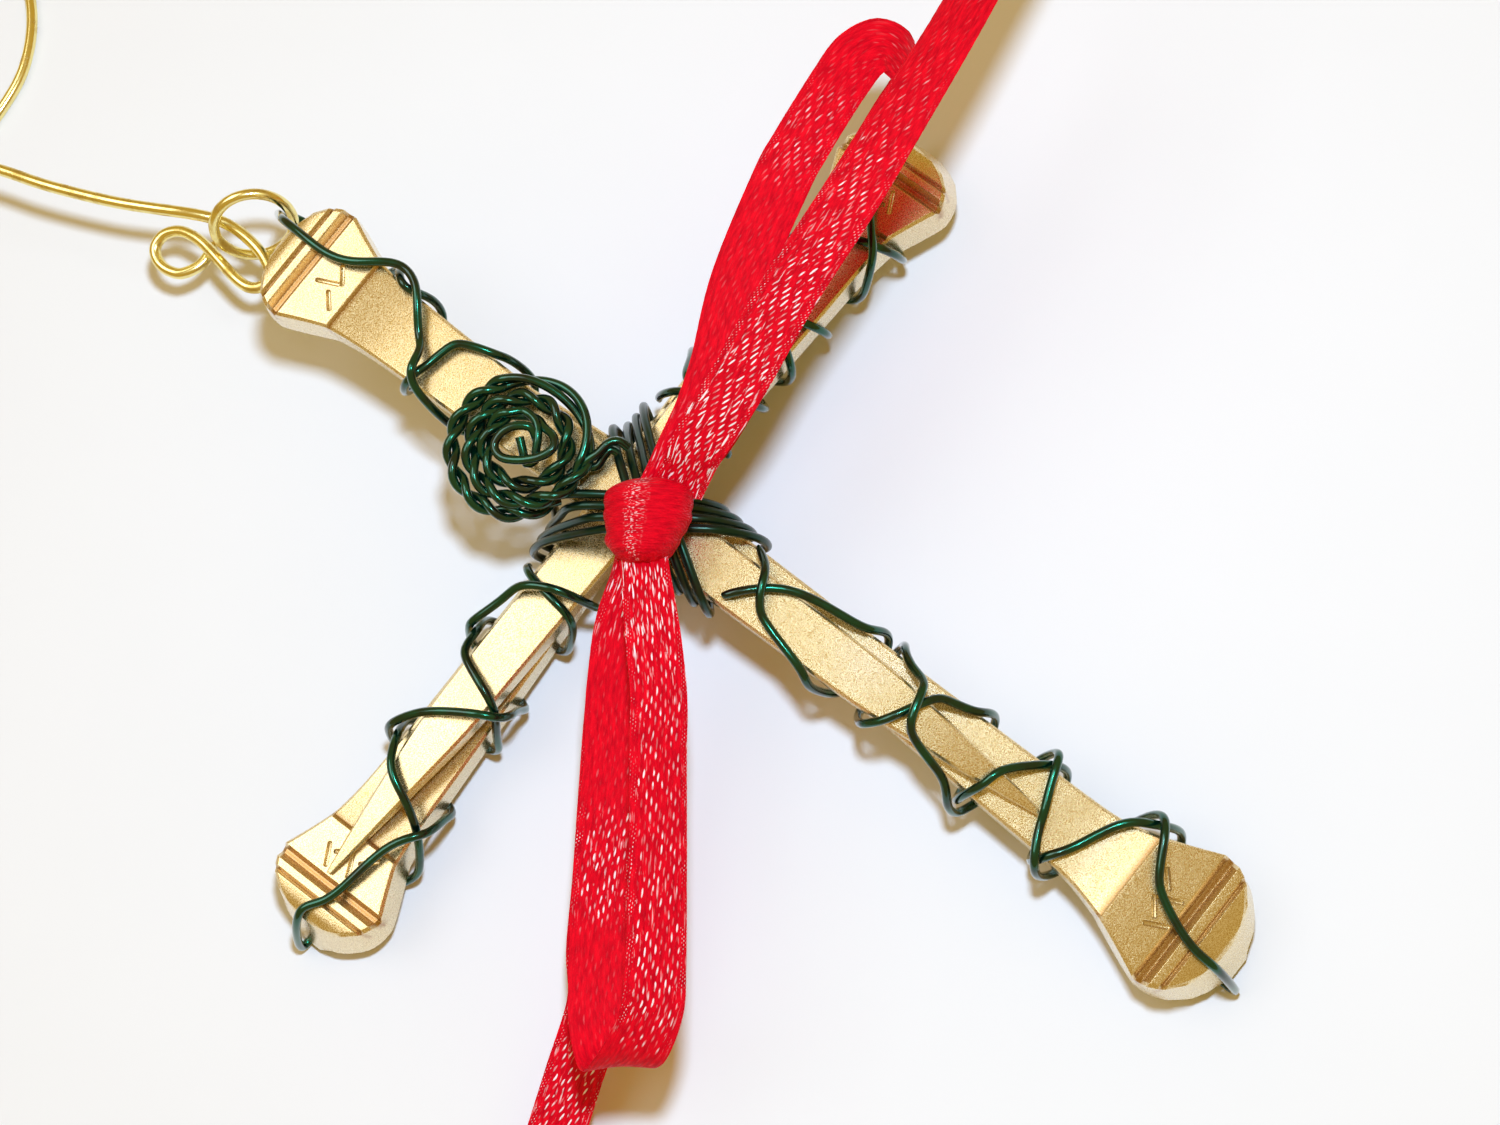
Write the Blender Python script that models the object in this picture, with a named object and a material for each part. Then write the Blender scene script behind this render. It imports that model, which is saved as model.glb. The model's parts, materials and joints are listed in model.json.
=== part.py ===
"""Hanging cross of four horseshoe nails, wound with green wire, with a wire rose,
a jump ring, a gold hanging hook and a tied red ribbon, lying on its back.

Lengths are written in millimetres and turned into metres when an object is made.
Pieces are drawn from the place on the table under the crossing of the two beams,
then moved so that the origin lies under the middle of all the firm pieces. +Y runs
to the head of the cross, +X to its right arm and +Z up out of its front.
"""
import math

import bmesh
import bpy
import numpy as np
from mathutils import Matrix, Vector

MM = 0.001

# Place of the finished origin, seen from the crossing of the beams
ORIGIN = (-1.37, 15.69, 0.02)

# Gaps left between pieces that touch
CONTACT_GAP = 0.10
WIRE_GAP = 0.10
WIRE_EASE = 0.03
FLOOR_EASE = 0.08

# Horseshoe nail
NAIL_LENGTH = 54.0
HEAD_HALF = 3.64
SHANK_HALF = 2.10
TAPER_HALF = 1.50
POINT_LENGTH = 11.0
POINT_HALF = 0.15
HEAD_HEIGHT = 3.0
SHANK_HEIGHT = 2.15
SHANK_FROM = 10.0
BARE_FROM = 0.672
BARE_TO = 0.722
HEAD_LEAN = 1.4
HEAD_BULGE = 0.9
EDGE_CHAMFER = 0.16
SIDE_FLARE = 0.35
NECK_AT = 5.6
NECK_STEP = 0.15
DEEP_GROOVE_AT = 2.38
DEEP_GROOVE_WIDTH = 0.85
DEEP_GROOVE_DEPTH = 0.45
FINE_GROOVE_AT = 1.38
FINE_GROOVE_WIDTH = 0.34
FINE_GROOVE_DEPTH = 0.17
FOOT_HEAD_SCALE = 1.13

# Reach of each head's face from the crossing, side offset and turn in plan
TOP_REACH = 24.75
FOOT_REACH = 41.0
RIGHT_REACH = 27.1
LEFT_REACH = 29.8
UPRIGHT_OFFSET = -0.19
BAR_OFFSET = 0.20
TOP_TURN = 0.3
FOOT_TURN = -1.3
RIGHT_TURN = -0.9
LEFT_TURN = 2.0

# Slope of each nail, head end down when positive
LEFT_SLOPE = 0.15
RIGHT_SLOPE = 1.5
TOP_SLOPE = -3.5

# Green wire
WIRE = 0.511
WIRE_RADIUS = WIRE / 2
WIRE_OFF = WIRE_RADIUS + CONTACT_GAP + WIRE_EASE
WIRE_STEP = 0.30
SLAB = 0.42
WIRE_CHORD = 0.07
WIRE_SPAN = 4.0

# Binding over the crossing: direction and side places of the turns of each band
BAND_PITCH = WIRE + WIRE_GAP
BAND_TURNS = 4
FIRST_BAND_HEADING = math.degrees(math.atan2(-0.81, 0.588))
FIRST_BAND_START = -2.2
SECOND_BAND_HEADING = math.degrees(math.atan2(-0.835, -0.55))
SECOND_BAND_START = 0.8
BAND_EASE = 0.06

# Wire rose
ROSE_CENTRE = (-1.3, 5.5)
ROSE_FROM = -64.0
ROSE_TWIST_PITCH = 3.2
ROSE_TWIST_OFFSET = WIRE_RADIUS + 0.06
ROSE_EASE = 0.35

# Coil of the rose from its outer end inward: turns, radius and rise
ROSE_COIL = [(0.2, 3.72, -0.95), (0.28, 3.88, -0.62), (0.38, 3.96, -0.2),
             (0.5, 3.93, 0.0), (0.75, 3.85, 0.05), (1.0, 3.52, 0.22), (1.12, 3.22, 0.33),
             (1.25, 2.85, 0.25), (1.5, 2.75, 0.0), (1.75, 2.62, 0.0), (2.0, 2.3, 0.0),
             (2.25, 1.75, 0.0), (2.5, 1.6, 0.0), (2.75, 1.4, 0.0), (2.95, 1.1, 0.0), (3.1, 0.9, 0.0)]

# Jump ring, its centre measured from the head of the cross
RING_WIRE = 0.65
RING_RADIUS = 2.39
RING_CENTRE = (0.02, 4.78, 6.4)
RING_TILT = 67.0
RING_HEADING = 147.0

# Hanging hook, its crook measured from the head of the cross
HOOK_WIRE = 0.72
CROOK_CENTRE = (-4.75, 38.74)
CROOK_RADIUS = 10.8

# Ribbon
RIBBON_WIDTH = 3.3
RIBBON_THICK = 0.25
KNOT_CENTRE = (-0.62, -3.71)
KNOT_HALF = (2.3, 2.45, 1.9)
RIBBON_HEADING = math.degrees(math.atan2(0.6, 0.8))

# Routes of the wires round the arms: share of the arm's reach from the crossing and the
# angle round the arm, 0 in front and 90 at the right when looking outward
LEFT_OUT = [(0.2047, 88), (0.2114, 48), (0.2248, 13), (0.2315, -24), (0.2383, -48), (0.2617, -78),
            (0.2919, -130), (0.3154, -190), (0.3389, -250), (0.3591, -300), (0.3893, -318),
            (0.4161, -329), (0.4362, -366), (0.4597, -402), (0.4899, -430), (0.5235, -480),
            (0.557, -540), (0.5872, -610), (0.6107, -665), (0.6477, -690), (0.6745, -705),
            (0.6913, -730), (0.7047, -753), (0.7282, -778), (0.7584, -805), (0.8121, -840),
            (0.8826, -870), (0.9597, -892)]
LEFT_BACK = [(0.9732, 4), (0.9362, -17), (0.8356, -32), (0.7752, -46), (0.7349, -62), (0.7047, -84),
             (0.6779, -120), (0.6611, -180), (0.6376, -250), (0.6107, -300), (0.5772, -316),
             (0.547, -335), (0.5168, -364), (0.4933, -385), (0.4732, -406), (0.4497, -430),
             (0.4329, -475), (0.4128, -540), (0.3926, -600), (0.3725, -655), (0.349, -670),
             (0.3221, -677), (0.2886, -684), (0.2617, -692), (0.2416, -704), (0.2215, -722),
             (0.2047, -748), (0.1946, -775), (0.1879, -800)]
FOOT_OUT = [(0.2061, 38), (0.2171, 24), (0.2488, -10), (0.278, -27), (0.3073, -40), (0.3463, -48),
            (0.3854, -66), (0.4049, -120), (0.4195, -180), (0.4366, -240), (0.4537, -295),
            (0.4756, -318), (0.4878, -335), (0.5, -357), (0.5098, -376), (0.522, -398), (0.5439, -410),
            (0.5707, -428), (0.5854, -480), (0.5976, -540), (0.6073, -600), (0.6171, -655),
            (0.6293, -682), (0.6366, -719), (0.6561, -755), (0.678, -777), (0.7, -812), (0.7146, -870),
            (0.7268, -930), (0.7415, -1008), (0.7561, -1038), (0.7707, -1053), (0.7805, -1086),
            (0.7951, -1120), (0.8146, -1134), (0.839, -1144), (0.8634, -1172), (0.8927, -1215),
            (0.9317, -1240), (0.9707, -1250)]
FOOT_BACK = [(0.9829, 26), (0.9585, 24), (0.9293, 12), (0.8902, -10), (0.8683, -38), (0.8463, -60),
             (0.8244, -88), (0.8049, -140), (0.7854, -190), (0.7634, -250), (0.7463, -300),
             (0.7317, -315), (0.7195, -335), (0.7098, -372), (0.6976, -398), (0.6854, -427),
             (0.6659, -480), (0.6463, -540), (0.6195, -600), (0.5951, -652), (0.5756, -668),
             (0.5415, -678), (0.5122, -695), (0.5, -728), (0.4902, -752), (0.4707, -768),
             (0.4415, -795), (0.4195, -860), (0.4, -920), (0.3756, -990), (0.3561, -1030),
             (0.3146, -1042), (0.2707, -1050), (0.2512, -1070), (0.2415, -1090), (0.2268, -1114),
             (0.2122, -1128), (0.1951, -1150)]
TOP_OUT = [(0.3354, 150), (0.3636, 100), (0.3879, 68), (0.4202, 48), (0.4606, 42), (0.5051, 30),
           (0.5188, -6), (0.5253, -33), (0.5414, -64), (0.5616, -110), (0.5899, -180), (0.6141, -240),
           (0.6384, -290), (0.6626, -310), (0.699, -308), (0.7354, -280), (0.7758, -245),
           (0.8323, -215), (0.9051, -196)]
TOP_BACK = [(0.9818, 25), (0.9293, 22), (0.8768, 21), (0.8323, 26), (0.8, 32), (0.7717, 43),
            (0.7354, 53), (0.699, 57), (0.6626, 53), (0.6384, 45), (0.6121, 33), (0.5818, 12),
            (0.5535, -5), (0.5273, -30), (0.497, -46), (0.4687, -54), (0.4323, -66), (0.404, -90),
            (0.3758, -140), (0.3556, -180)]
RIGHT_OUT = [(0.2362, -100), (0.2472, -48), (0.2657, -28), (0.2878, 5), (0.31, 32), (0.3395, 60),
             (0.3653, 110), (0.3948, 180), (0.428, 250), (0.4576, 300), (0.4871, 330), (0.5129, 365),
             (0.5351, 395), (0.5572, 425), (0.5793, 480), (0.6052, 540), (0.6347, 600), (0.6642, 655),
             (0.6974, 690), (0.7306, 715), (0.7565, 755), (0.786, 790), (0.8081, 830), (0.8413, 865),
             (0.8856, 885)]
RIGHT_BACK = [(0.9705, -20), (0.9225, -14), (0.8708, -4), (0.8192, 12), (0.7749, 28), (0.7306, 46),
              (0.6974, 66), (0.6716, 110), (0.6458, 180), (0.6162, 250), (0.5867, 300), (0.5535, 330),
              (0.5166, 365), (0.4871, 390), (0.4502, 425), (0.428, 480), (0.4059, 540), (0.3801, 600),
              (0.3542, 650), (0.3247, 675), (0.2915, 700), (0.2657, 735), (0.2362, 775), (0.2214, 800)]

# Where the wire leaves the back of each head and climbs over its end, side place
LEFT_END_ACROSS = 0.3
FOOT_END_ACROSS = 1.0
RIGHT_END_ACROSS = -1.6
END_BACK_REACH = 1.2
END_FRONT_REACH = 0.8

# Loop of the top arm's wire that holds the jump ring, measured from the head of the cross
RING_LOOP = [(0.62, -0.15, 6.75), (0.8, 1.15, 6.1), (1.3, 1.85, 5.2), (1.9, 2.4, 4.4),
             (2.3, 3.2, 3.95), (2.2, 3.8, 4.2), (1.9, 4.2, 4.95), (1.5, 4.05, 6.2),
             (1.36, 3.5, 7.4), (1.2, 2.5, 8.8), (0.97, 1.25, 10.6), (0.8, 0.42, 11.75)]

# Centre line of the hook, from the tucked end of its curl to the U-turn and the stem
HOOK_LINE = [(-2.11, 7.34, 4.3), (-3.25, 6.99, 4.35), (-4.2, 7.12, 4.45), (-5.09, 7.71, 4.6),
             (-5.33, 8.94, 4.8), (-4.7, 9.84, 5), (-3.64, 9.81, 5.2), (-2.83, 8.85, 5.4),
             (-2.65, 7.15, 5.5), (-2.92, 5.62, 5.5), (-3.24, 4.08, 5.45), (-3.1, 2.76, 5.45),
             (-2.44, 2.16, 5.45), (-1.69, 2.3, 5.5), (-1.07, 3.38, 5.6), (-0.84, 4.52, 5.75),
             (-0.81, 5.78, 6), (-1.06, 6.97, 6.4), (-1.66, 8.03, 6.9), (-2.34, 9.13, 7.2),
             (-3.44, 11.11, 7.4), (-4.44, 13.23, 7.4), (-5.94, 17.21, 7.4), (-6.68, 19.98, 7.3),
             (-7.9, 22.8, 7.3), (-10, 26.5, 7.3), (-12.6, 30.6, 7.2)]
CROOK_FROM = 190.0
CROOK_TO = -93.0
CROOK_DOWN_AT = -30.0
CROOK_START_HEIGHT = 7.0

# Centre lines of the ribbon, the direction across it and the share of its width that is open
TOP_LOOP = [
    ((1.99, -2.95, 12.3), (0.62, -0.78, 0.0), 0.62),
    ((3.8, -2.73, 12.8), (0.58, -0.81, 0.0), 0.75),
    ((5.91, -2.5, 13.4), (0.50, -0.87, 0.0), 0.9),
    ((8.39, -1.87, 14.2), (0.40, -0.92, 0.0), 1.0),
    ((12.6, -0.1, 15.2), (0.35, -0.94, 0.1), 1.0),
    ((18.24, 1.38, 15.7), (0.42, -0.91, 0.0), 1.0),
    ((20.32, 1.73, 15.8), (0.17, -0.99, 0.0), 1.0),
    ((22.43, 1.98, 15.9), (-0.1, -0.99, 0.0), 1.0),
    ((24.48, 2.2, 15.9), (-0.23, -0.97, 0.0), 1.0),
    ((26.42, 2.34, 15.7), (-0.41, -0.91, 0), 1),
    ((27.68, 1.83, 15.4), (-0.74, -0.68, 0), 0.95),
    ((28.05, 0.94, 14.6), (-0.9, -0.43, 0), 0.92),
    ((27.99, 0.17, 13.2), (-0.76, -0.65, 0), 0.92),
    ((27.24, 0.04, 11.9), (-0.38, -0.93, 0), 0.95),
    ((25.97, -0.02, 11), (-0.1, -0.99, 0), 1),
    ((23.78, -0.13, 10.3), (0.04, -1, 0), 1),
    ((20.81, -0.36, 9.8), (0.06, -1, 0), 1),
    ((17.73, -0.65, 9.6), (0.06, -1, 0), 1),
    ((14.5, -0.99, 9.5), (0.08, -1, 0), 1),
    ((11.07, -1.54, 9.6), (0.11, -0.99, 0), 1),
    ((7.65, -2.12, 9.8), (0.13, -0.99, 0), 1),
    ((4.85, -2.65, 10.3), (0.14, -0.99, 0), 0.85),
    ((3.14, -2.77, 11.1), (0.60, -0.80, 0.0), 0.62),
]
UPPER_TAIL = [
    ((2.75, -3.95, 13.6), (0.55, -0.83, 0.0), 0.66),
    ((4.22, -3.92, 14.8), (0.46, -0.89, 0.0), 0.8),
    ((8.23, -3.88, 16.3), (0.30, -0.95, 0.1), 0.98),
    ((12.8, -3.41, 17.3), (0.22, -0.97, 0.1), 1.0),
    ((18.5, -3.04, 17.9), (0.22, -0.97, 0.1), 1.0),
    ((23.0, -2.51, 18.0), (0.22, -0.97, 0.2), 1.0),
    ((29.52, -1.72, 18.0), (0.26, -0.96, 0.4), 1.0),
    ((35.1, -0.64, 17.5), (0.28, -0.95, 0.4), 1.0),
    ((39.58, 0.36, 16.8), (0.28, -0.96, 0.2), 1.0),
]
BOTTOM_LOOP = [
    ((-3.3, -4.85, 11.6), (0.60, -0.80, 0.0), 0.62),
    ((-4.9, -5.5, 11.1), (0.58, -0.81, 0.0), 0.8),
    ((-6.67, -6.22, 10.5), (0.56, -0.82, 0.0), 0.95),
    ((-9.12, -7.59, 9.8), (0.58, -0.81, 0.0), 1.0),
    ((-11.6, -9.35, 9.2), (0.60, -0.80, 0.0), 1.0),
    ((-16.52, -12.43, 8.4), (0.60, -0.80, 0.0), 1.0),
    ((-18.96, -14.05, 8.0), (0.60, -0.80, 0.0), 1.0),
    ((-21.08, -15.62, 7.8), (0.64, -0.76, 0.0), 1.0),
    ((-22.95, -17.2, 8.0), (0.68, -0.72, 0.0), 1.0),
    ((-23.95, -18.7, 8.8), (0.68, -0.72, 0.1), 1.0),
    ((-23.9, -19.85, 10.2), (0.66, -0.75, 0.1), 1.0),
    ((-22.7, -20.4, 11.6), (0.62, -0.78, -0.1), 1.0),
    ((-20.55, -20.0, 12.5), (0.60, -0.78, -0.35), 1.0),
    ((-18.76, -18.93, 12.9), (0.60, -0.78, -0.55), 1.0),
    ((-14.49, -15.7, 13.1), (0.60, -0.78, -0.7), 1.0),
    ((-10.12, -12.2, 13.1), (0.60, -0.78, -0.7), 1.0),
    ((-7.74, -10.31, 13.0), (0.60, -0.78, -0.6), 0.95),
    ((-5.7, -8.32, 12.9), (0.60, -0.78, -0.4), 0.85),
    ((-4.21, -6.77, 12.8), (0.60, -0.78, -0.2), 0.72),
    ((-3.01, -5.52, 12.7), (0.60, -0.78, 0.0), 0.62),
]
LOWER_TAIL = [
    ((-3.4, -4.5, 10.6), (0.60, -0.80, 0.0), 0.62),
    ((-6.11, -5.45, 9.3), (0.60, -0.80, 0.0), 0.9),
    ((-9.95, -7.64, 7.9), (0.60, -0.80, 0.0), 1.0),
    ((-13.71, -9.93, 6.7), (0.60, -0.80, 0.0), 1.0),
    ((-17.41, -12.27, 5.7), (0.60, -0.80, 0.0), 1.0),
    ((-20.67, -14.26, 4.9), (0.58, -0.82, 0.0), 1.0),
    ((-23.05, -16.04, 4.2), (0.55, -0.84, 0.0), 1.0),
    ((-27.14, -17.38, 3.1), (0.45, -0.89, 0.0), 1.0),
    ((-31.9, -18.9, 1.8), (0.4, -0.92, 0.0), 1.0),
    ((-36.3, -20.3, 0.9), (0.36, -0.93, 0.0), 1.0),
]


# Finishes
def make_finish(name, colour, metallic, roughness):
    """Make a plain finish with the given base colour."""
    finish = bpy.data.materials.new(name)
    finish.use_nodes = True
    shader = finish.node_tree.nodes["Principled BSDF"]
    shader.inputs["Base Color"].default_value = (*colour, 1.0)
    shader.inputs["Metallic"].default_value = metallic
    shader.inputs["Roughness"].default_value = roughness
    finish.diffuse_color = (*colour, 1.0)
    return finish


# Nail shape along its length
def head_scale(nail):
    """Size of a nail's head against the plain head."""
    return FOOT_HEAD_SCALE if nail == "foot_nail" else 1.0


def half_width(s, scale):
    """Half width of the nail at the distance s from the end of its head."""
    head = [(0.0, 0.16), (0.25, 0.42), (0.6, 0.63), (1.1, 0.82), (1.8, 0.96), (2.6, 1.0), (3.2, 0.965),
            (4.2, 0.82), (NECK_AT, 0.675)]
    places = [at * scale for at, share in head]
    halves = [HEAD_HALF * share * scale for at, share in head]
    places += [7.5 * scale, SHANK_FROM, 0.5 * NAIL_LENGTH, BARE_TO * NAIL_LENGTH,
               NAIL_LENGTH - POINT_LENGTH, NAIL_LENGTH - 0.36 * POINT_LENGTH, NAIL_LENGTH]
    halves += [SHANK_HALF * 1.04, SHANK_HALF, SHANK_HALF * 0.79, TAPER_HALF, TAPER_HALF * 0.97,
               TAPER_HALF * 0.48, POINT_HALF]
    return float(np.interp(s, places, halves))


def groove(s, at, width, depth):
    """Depth of a rounded groove across the head's face."""
    share = abs(s - at) / (width / 2)
    return depth * min(1.0, 1.5 * (1.0 - share)) if share < 1.0 else 0.0


def front_height(s, scale):
    """Height of the front above the straight back."""
    neck = NECK_AT * scale
    along = [(0.222, 0.953), (0.37, 0.837), (0.52, 0.753), (0.667, 0.698), (0.76, 0.66),
             (0.852, 0.558), (0.926, 0.349), (1.0, 0.084)]
    neck_height = HEAD_HEIGHT - 0.12
    places = [0.0, 0.4, 1.2 * scale, 3.0 * scale, neck - 0.05, neck + 0.15, SHANK_FROM * 0.9]
    heights = [HEAD_HEIGHT - 0.45, HEAD_HEIGHT - 0.1, HEAD_HEIGHT, HEAD_HEIGHT - 0.05,
               neck_height, neck_height - NECK_STEP, SHANK_HEIGHT]
    places += [share * NAIL_LENGTH for share, height in along]
    heights += [height * SHANK_HEIGHT for share, height in along]
    height = float(np.interp(s, places, heights))
    height -= groove(s, DEEP_GROOVE_AT * scale, DEEP_GROOVE_WIDTH * scale, DEEP_GROOVE_DEPTH)
    return height - groove(s, FINE_GROOVE_AT * scale, FINE_GROOVE_WIDTH, FINE_GROOVE_DEPTH)


def back_drop(s, scale):
    """How far the back of the head bulges below the straight back."""
    return HEAD_BULGE * max(0.0, 1.0 - s / (6.0 * scale)) ** 1.3


def section(s, scale):
    """Eight corners of the nail's section, in the nail's own frame."""
    half = half_width(s, scale)
    top = front_height(s, scale)
    drop = back_drop(s, scale)
    edge = min(EDGE_CHAMFER, half * 0.5, top * 0.3)
    flare = SIDE_FLARE * max(0.0, 1.0 - s / (NECK_AT * scale))
    lean = HEAD_LEAN * scale * max(0.0, 1.0 - s / (4.0 * scale))
    body = half + flare
    corners = [(-body * 0.72, -drop), (body * 0.72, -drop), (body, -drop * 0.35 + edge),
               (half + flare * 0.3, top - edge), (half - edge, top), (-half + edge, top),
               (-half - flare * 0.3, top - edge), (-body, -drop * 0.35 + edge)]
    low = -drop
    points = []
    for across, high in corners:
        share = (top - high) / (top - low)
        points.append((s - lean * share, across, high))
    return points


def nail_places(scale):
    """Distances along the nail at which its section is set."""
    deep = DEEP_GROOVE_AT * scale
    fine = FINE_GROOVE_AT * scale
    wide = DEEP_GROOVE_WIDTH * scale / 2
    thin = FINE_GROOVE_WIDTH / 2
    neck = NECK_AT * scale
    return [0.0, 0.25 * scale, 0.6 * scale, fine - thin, fine, fine + thin, deep - wide,
            deep - wide / 3, deep + wide / 3, deep + wide, 4.2 * scale, neck - 0.05, neck + 0.15,
            7.5 * scale, SHANK_FROM, 0.37 * NAIL_LENGTH, 0.5 * NAIL_LENGTH, BARE_FROM * NAIL_LENGTH,
            BARE_TO * NAIL_LENGTH, NAIL_LENGTH - POINT_LENGTH, 0.852 * NAIL_LENGTH,
            NAIL_LENGTH - 0.36 * POINT_LENGTH, NAIL_LENGTH]


class Nail:
    """One horseshoe nail with its place in the stack."""

    def __init__(self, name, outward, reach, offset, turn, slope):
        self.name = name
        self.outward = outward
        self.reach = reach
        self.offset = offset
        self.turn = turn
        self.slope = slope
        self.scale = head_scale(name)
        self.lift = 0.0

    def matrix(self):
        """Matrix from the nail's own frame, +X to its point, to the table's frame."""
        heading = math.atan2(-self.outward[1], -self.outward[0]) + math.radians(self.turn)
        out = Vector((*self.outward, 0.0))
        right = Vector((out.y, -out.x, 0.0))
        start = out * self.reach + right * self.offset
        tilt = Matrix.Rotation(math.radians(-self.slope), 4, "Y")
        turned = Matrix.Rotation(heading, 4, "Z")
        return Matrix.Translation((start.x, start.y, self.lift)) @ turned @ tilt

    def cloud(self):
        """Points over the nail's surface, close enough to rest other pieces on."""
        points = []
        for s in np.arange(0.0, NAIL_LENGTH, 0.2):
            corners = section(float(s), self.scale)
            for start, end in zip(corners, corners[1:] + corners[:1]):
                for share in (0.0, 0.25, 0.5, 0.75):
                    points.append([a + (b - a) * share for a, b in zip(start, end)])
        local = np.array(points)
        matrix = np.array(self.matrix())
        return local @ matrix[:3, :3].T + matrix[:3, 3]

    def fronts_under(self, places):
        """Front height of this nail under each place, or a very low value beside it."""
        matrix = np.array(self.matrix())
        local = (places - matrix[:3, 3]) @ matrix[:3, :3]
        heights = np.full(len(places), -1000.0)
        for row, (s, across, high) in enumerate(local):
            if 0.0 <= s <= NAIL_LENGTH and abs(across) <= half_width(s, self.scale):
                top = matrix[:3, :3] @ np.array([s, across, front_height(s, self.scale)])
                heights[row] = top[2] + matrix[2, 3]
        return heights

    def back_points(self):
        """Points along the back of the nail."""
        matrix = np.array(self.matrix())
        points = []
        for s in np.arange(0.0, NAIL_LENGTH, 0.5):
            first, second = section(float(s), self.scale)[:2]
            for share in (0.0, 0.5, 1.0):
                points.append([a + (b - a) * share for a, b in zip(first, second)])
        return np.array(points) @ matrix[:3, :3].T + matrix[:3, 3]

    def rest_on(self, lower, floor):
        """Lift the nail until it clears the floor and every lower nail."""
        backs = self.back_points()
        rise = floor - backs[:, 2].min()
        for nail in lower:
            heights = nail.fronts_under(backs)
            rise = max(rise, float((heights - backs[:, 2]).max()) + CONTACT_GAP)
        self.lift += rise
        return rise


def build_stack():
    """Set the four nails on the table, each on the ones below it."""
    floor = WIRE + CONTACT_GAP + FLOOR_EASE
    left = Nail("left_nail", (-1, 0), LEFT_REACH, BAR_OFFSET, LEFT_TURN, LEFT_SLOPE)
    right = Nail("right_nail", (1, 0), RIGHT_REACH, BAR_OFFSET, RIGHT_TURN, RIGHT_SLOPE)
    foot = Nail("foot_nail", (0, -1), FOOT_REACH, UPRIGHT_OFFSET, FOOT_TURN, 0.0)
    top = Nail("top_nail", (0, 1), TOP_REACH, UPRIGHT_OFFSET, TOP_TURN, TOP_SLOPE)
    left.rest_on([], floor)
    right.rest_on([left], floor)
    low, high = 0.0, 12.0
    for step in range(24):
        foot.slope = (low + high) / 2
        foot.lift = 0.0
        on_table = foot.rest_on([], floor)
        foot.lift = 0.0
        on_bar = foot.rest_on([left, right], floor)
        if on_bar > on_table + 1e-6:
            low = (low + high) / 2
        else:
            high = (low + high) / 2
    top.rest_on([left, right, foot], floor)
    return {"left": left, "right": right, "foot": foot, "top": top}


# Wires drawn round the nails
def hull(points):
    """Convex outline of flat points, counter-clockwise."""
    ordered = sorted(set(map(tuple, np.round(points, 4))))
    chains = []
    for source in (ordered, ordered[::-1]):
        chain = []
        for point in source:
            while len(chain) >= 2:
                (ax, ay), (bx, by) = chain[-2], chain[-1]
                if (bx - ax) * (point[1] - ay) - (by - ay) * (point[0] - ax) > 1e-9:
                    break
                chain.pop()
            chain.append(point)
        chains.append(chain[:-1])
    return np.array(chains[0] + chains[1])


def reach_to(outline, centre, angle, off):
    """Distance from the centre, at the angle from the front, to an outline grown by off."""
    ray = np.array([math.sin(math.radians(angle)), math.cos(math.radians(angle))])
    starts = outline - centre
    ends = np.roll(starts, -1, axis=0)
    sides = ends - starts
    normals = np.stack([sides[:, 1], -sides[:, 0]], axis=1)
    normals /= np.linalg.norm(normals, axis=1)[:, None]
    along = normals @ ray
    heights = (normals * starts).sum(axis=1) + off
    return float((heights[along > 1e-6] / along[along > 1e-6]).min())


class Winding:
    """Sections of the nails in upright planes, with wires wound round them."""

    def __init__(self, cloud, normal, slab):
        self.cloud = cloud
        self.normal = np.array([normal[0], normal[1], 0.0])
        self.across = np.array([normal[1], -normal[0], 0.0])
        self.slab = slab
        self.places = cloud @ self.normal
        self.known = {}

    def outline(self, at):
        """Outline of the nails cut at a distance along the normal."""
        key = round(at / 0.1)
        if key not in self.known:
            near = self.cloud[np.abs(self.places - key * 0.1) < self.slab]
            flat = np.stack([near @ self.across, near[:, 2]], axis=1)
            shape = hull(flat)
            self.known[key] = (shape, (shape.min(axis=0) + shape.max(axis=0)) / 2)
        return self.known[key]

    def point(self, at, angle, extra=0.0):
        """Place of a wire's centre line at an angle round the section."""
        shape, centre = self.outline(at)
        reach = reach_to(shape, centre, angle, WIRE_OFF + extra)
        side = centre[0] + reach * math.sin(math.radians(angle))
        high = centre[1] + reach * math.cos(math.radians(angle))
        return self.normal * at + self.across * side + np.array([0.0, 0.0, high])

    def middle(self, at):
        """Middle of the section."""
        shape, centre = self.outline(at)
        return self.normal * at + self.across * centre[0] + np.array([0.0, 0.0, centre[1]])


def through(points, step):
    """Smooth line through the points, sampled at about the given step."""
    data = np.array(points, dtype=float)
    ends = np.vstack([2 * data[0] - data[1], data, 2 * data[-1] - data[-2]])
    line = []
    for index in range(1, len(ends) - 2):
        a, b, c, d = ends[index - 1:index + 3]
        count = max(2, int(np.linalg.norm((c - b)[:3]) / step))
        for share in np.linspace(0.0, 1.0, count, endpoint=False):
            line.append(0.5 * (2 * b + (c - a) * share + (2 * a - 5 * b + 4 * c - d) * share ** 2
                               + (3 * b - a - 3 * c + d) * share ** 3))
    line.append(ends[-2])
    return np.array(line)


def even(line, step):
    """The same line with its points an equal step apart."""
    lengths = np.concatenate([[0.0], np.cumsum(np.linalg.norm(np.diff(line, axis=0), axis=1))])
    count = max(2, int(round(lengths[-1] / step)) + 1)
    places = np.linspace(0.0, lengths[-1], count)
    return np.stack([np.interp(places, lengths, line[:, axis]) for axis in range(3)], axis=1)


def soften(values, reach):
    """Running mean of a row of values, keeping its ends."""
    padded = np.concatenate([np.full(reach, values[0]), values, np.full(reach, values[-1])])
    kernel = np.ones(2 * reach + 1) / (2 * reach + 1)
    return np.convolve(padded, kernel, mode="valid")


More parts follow.
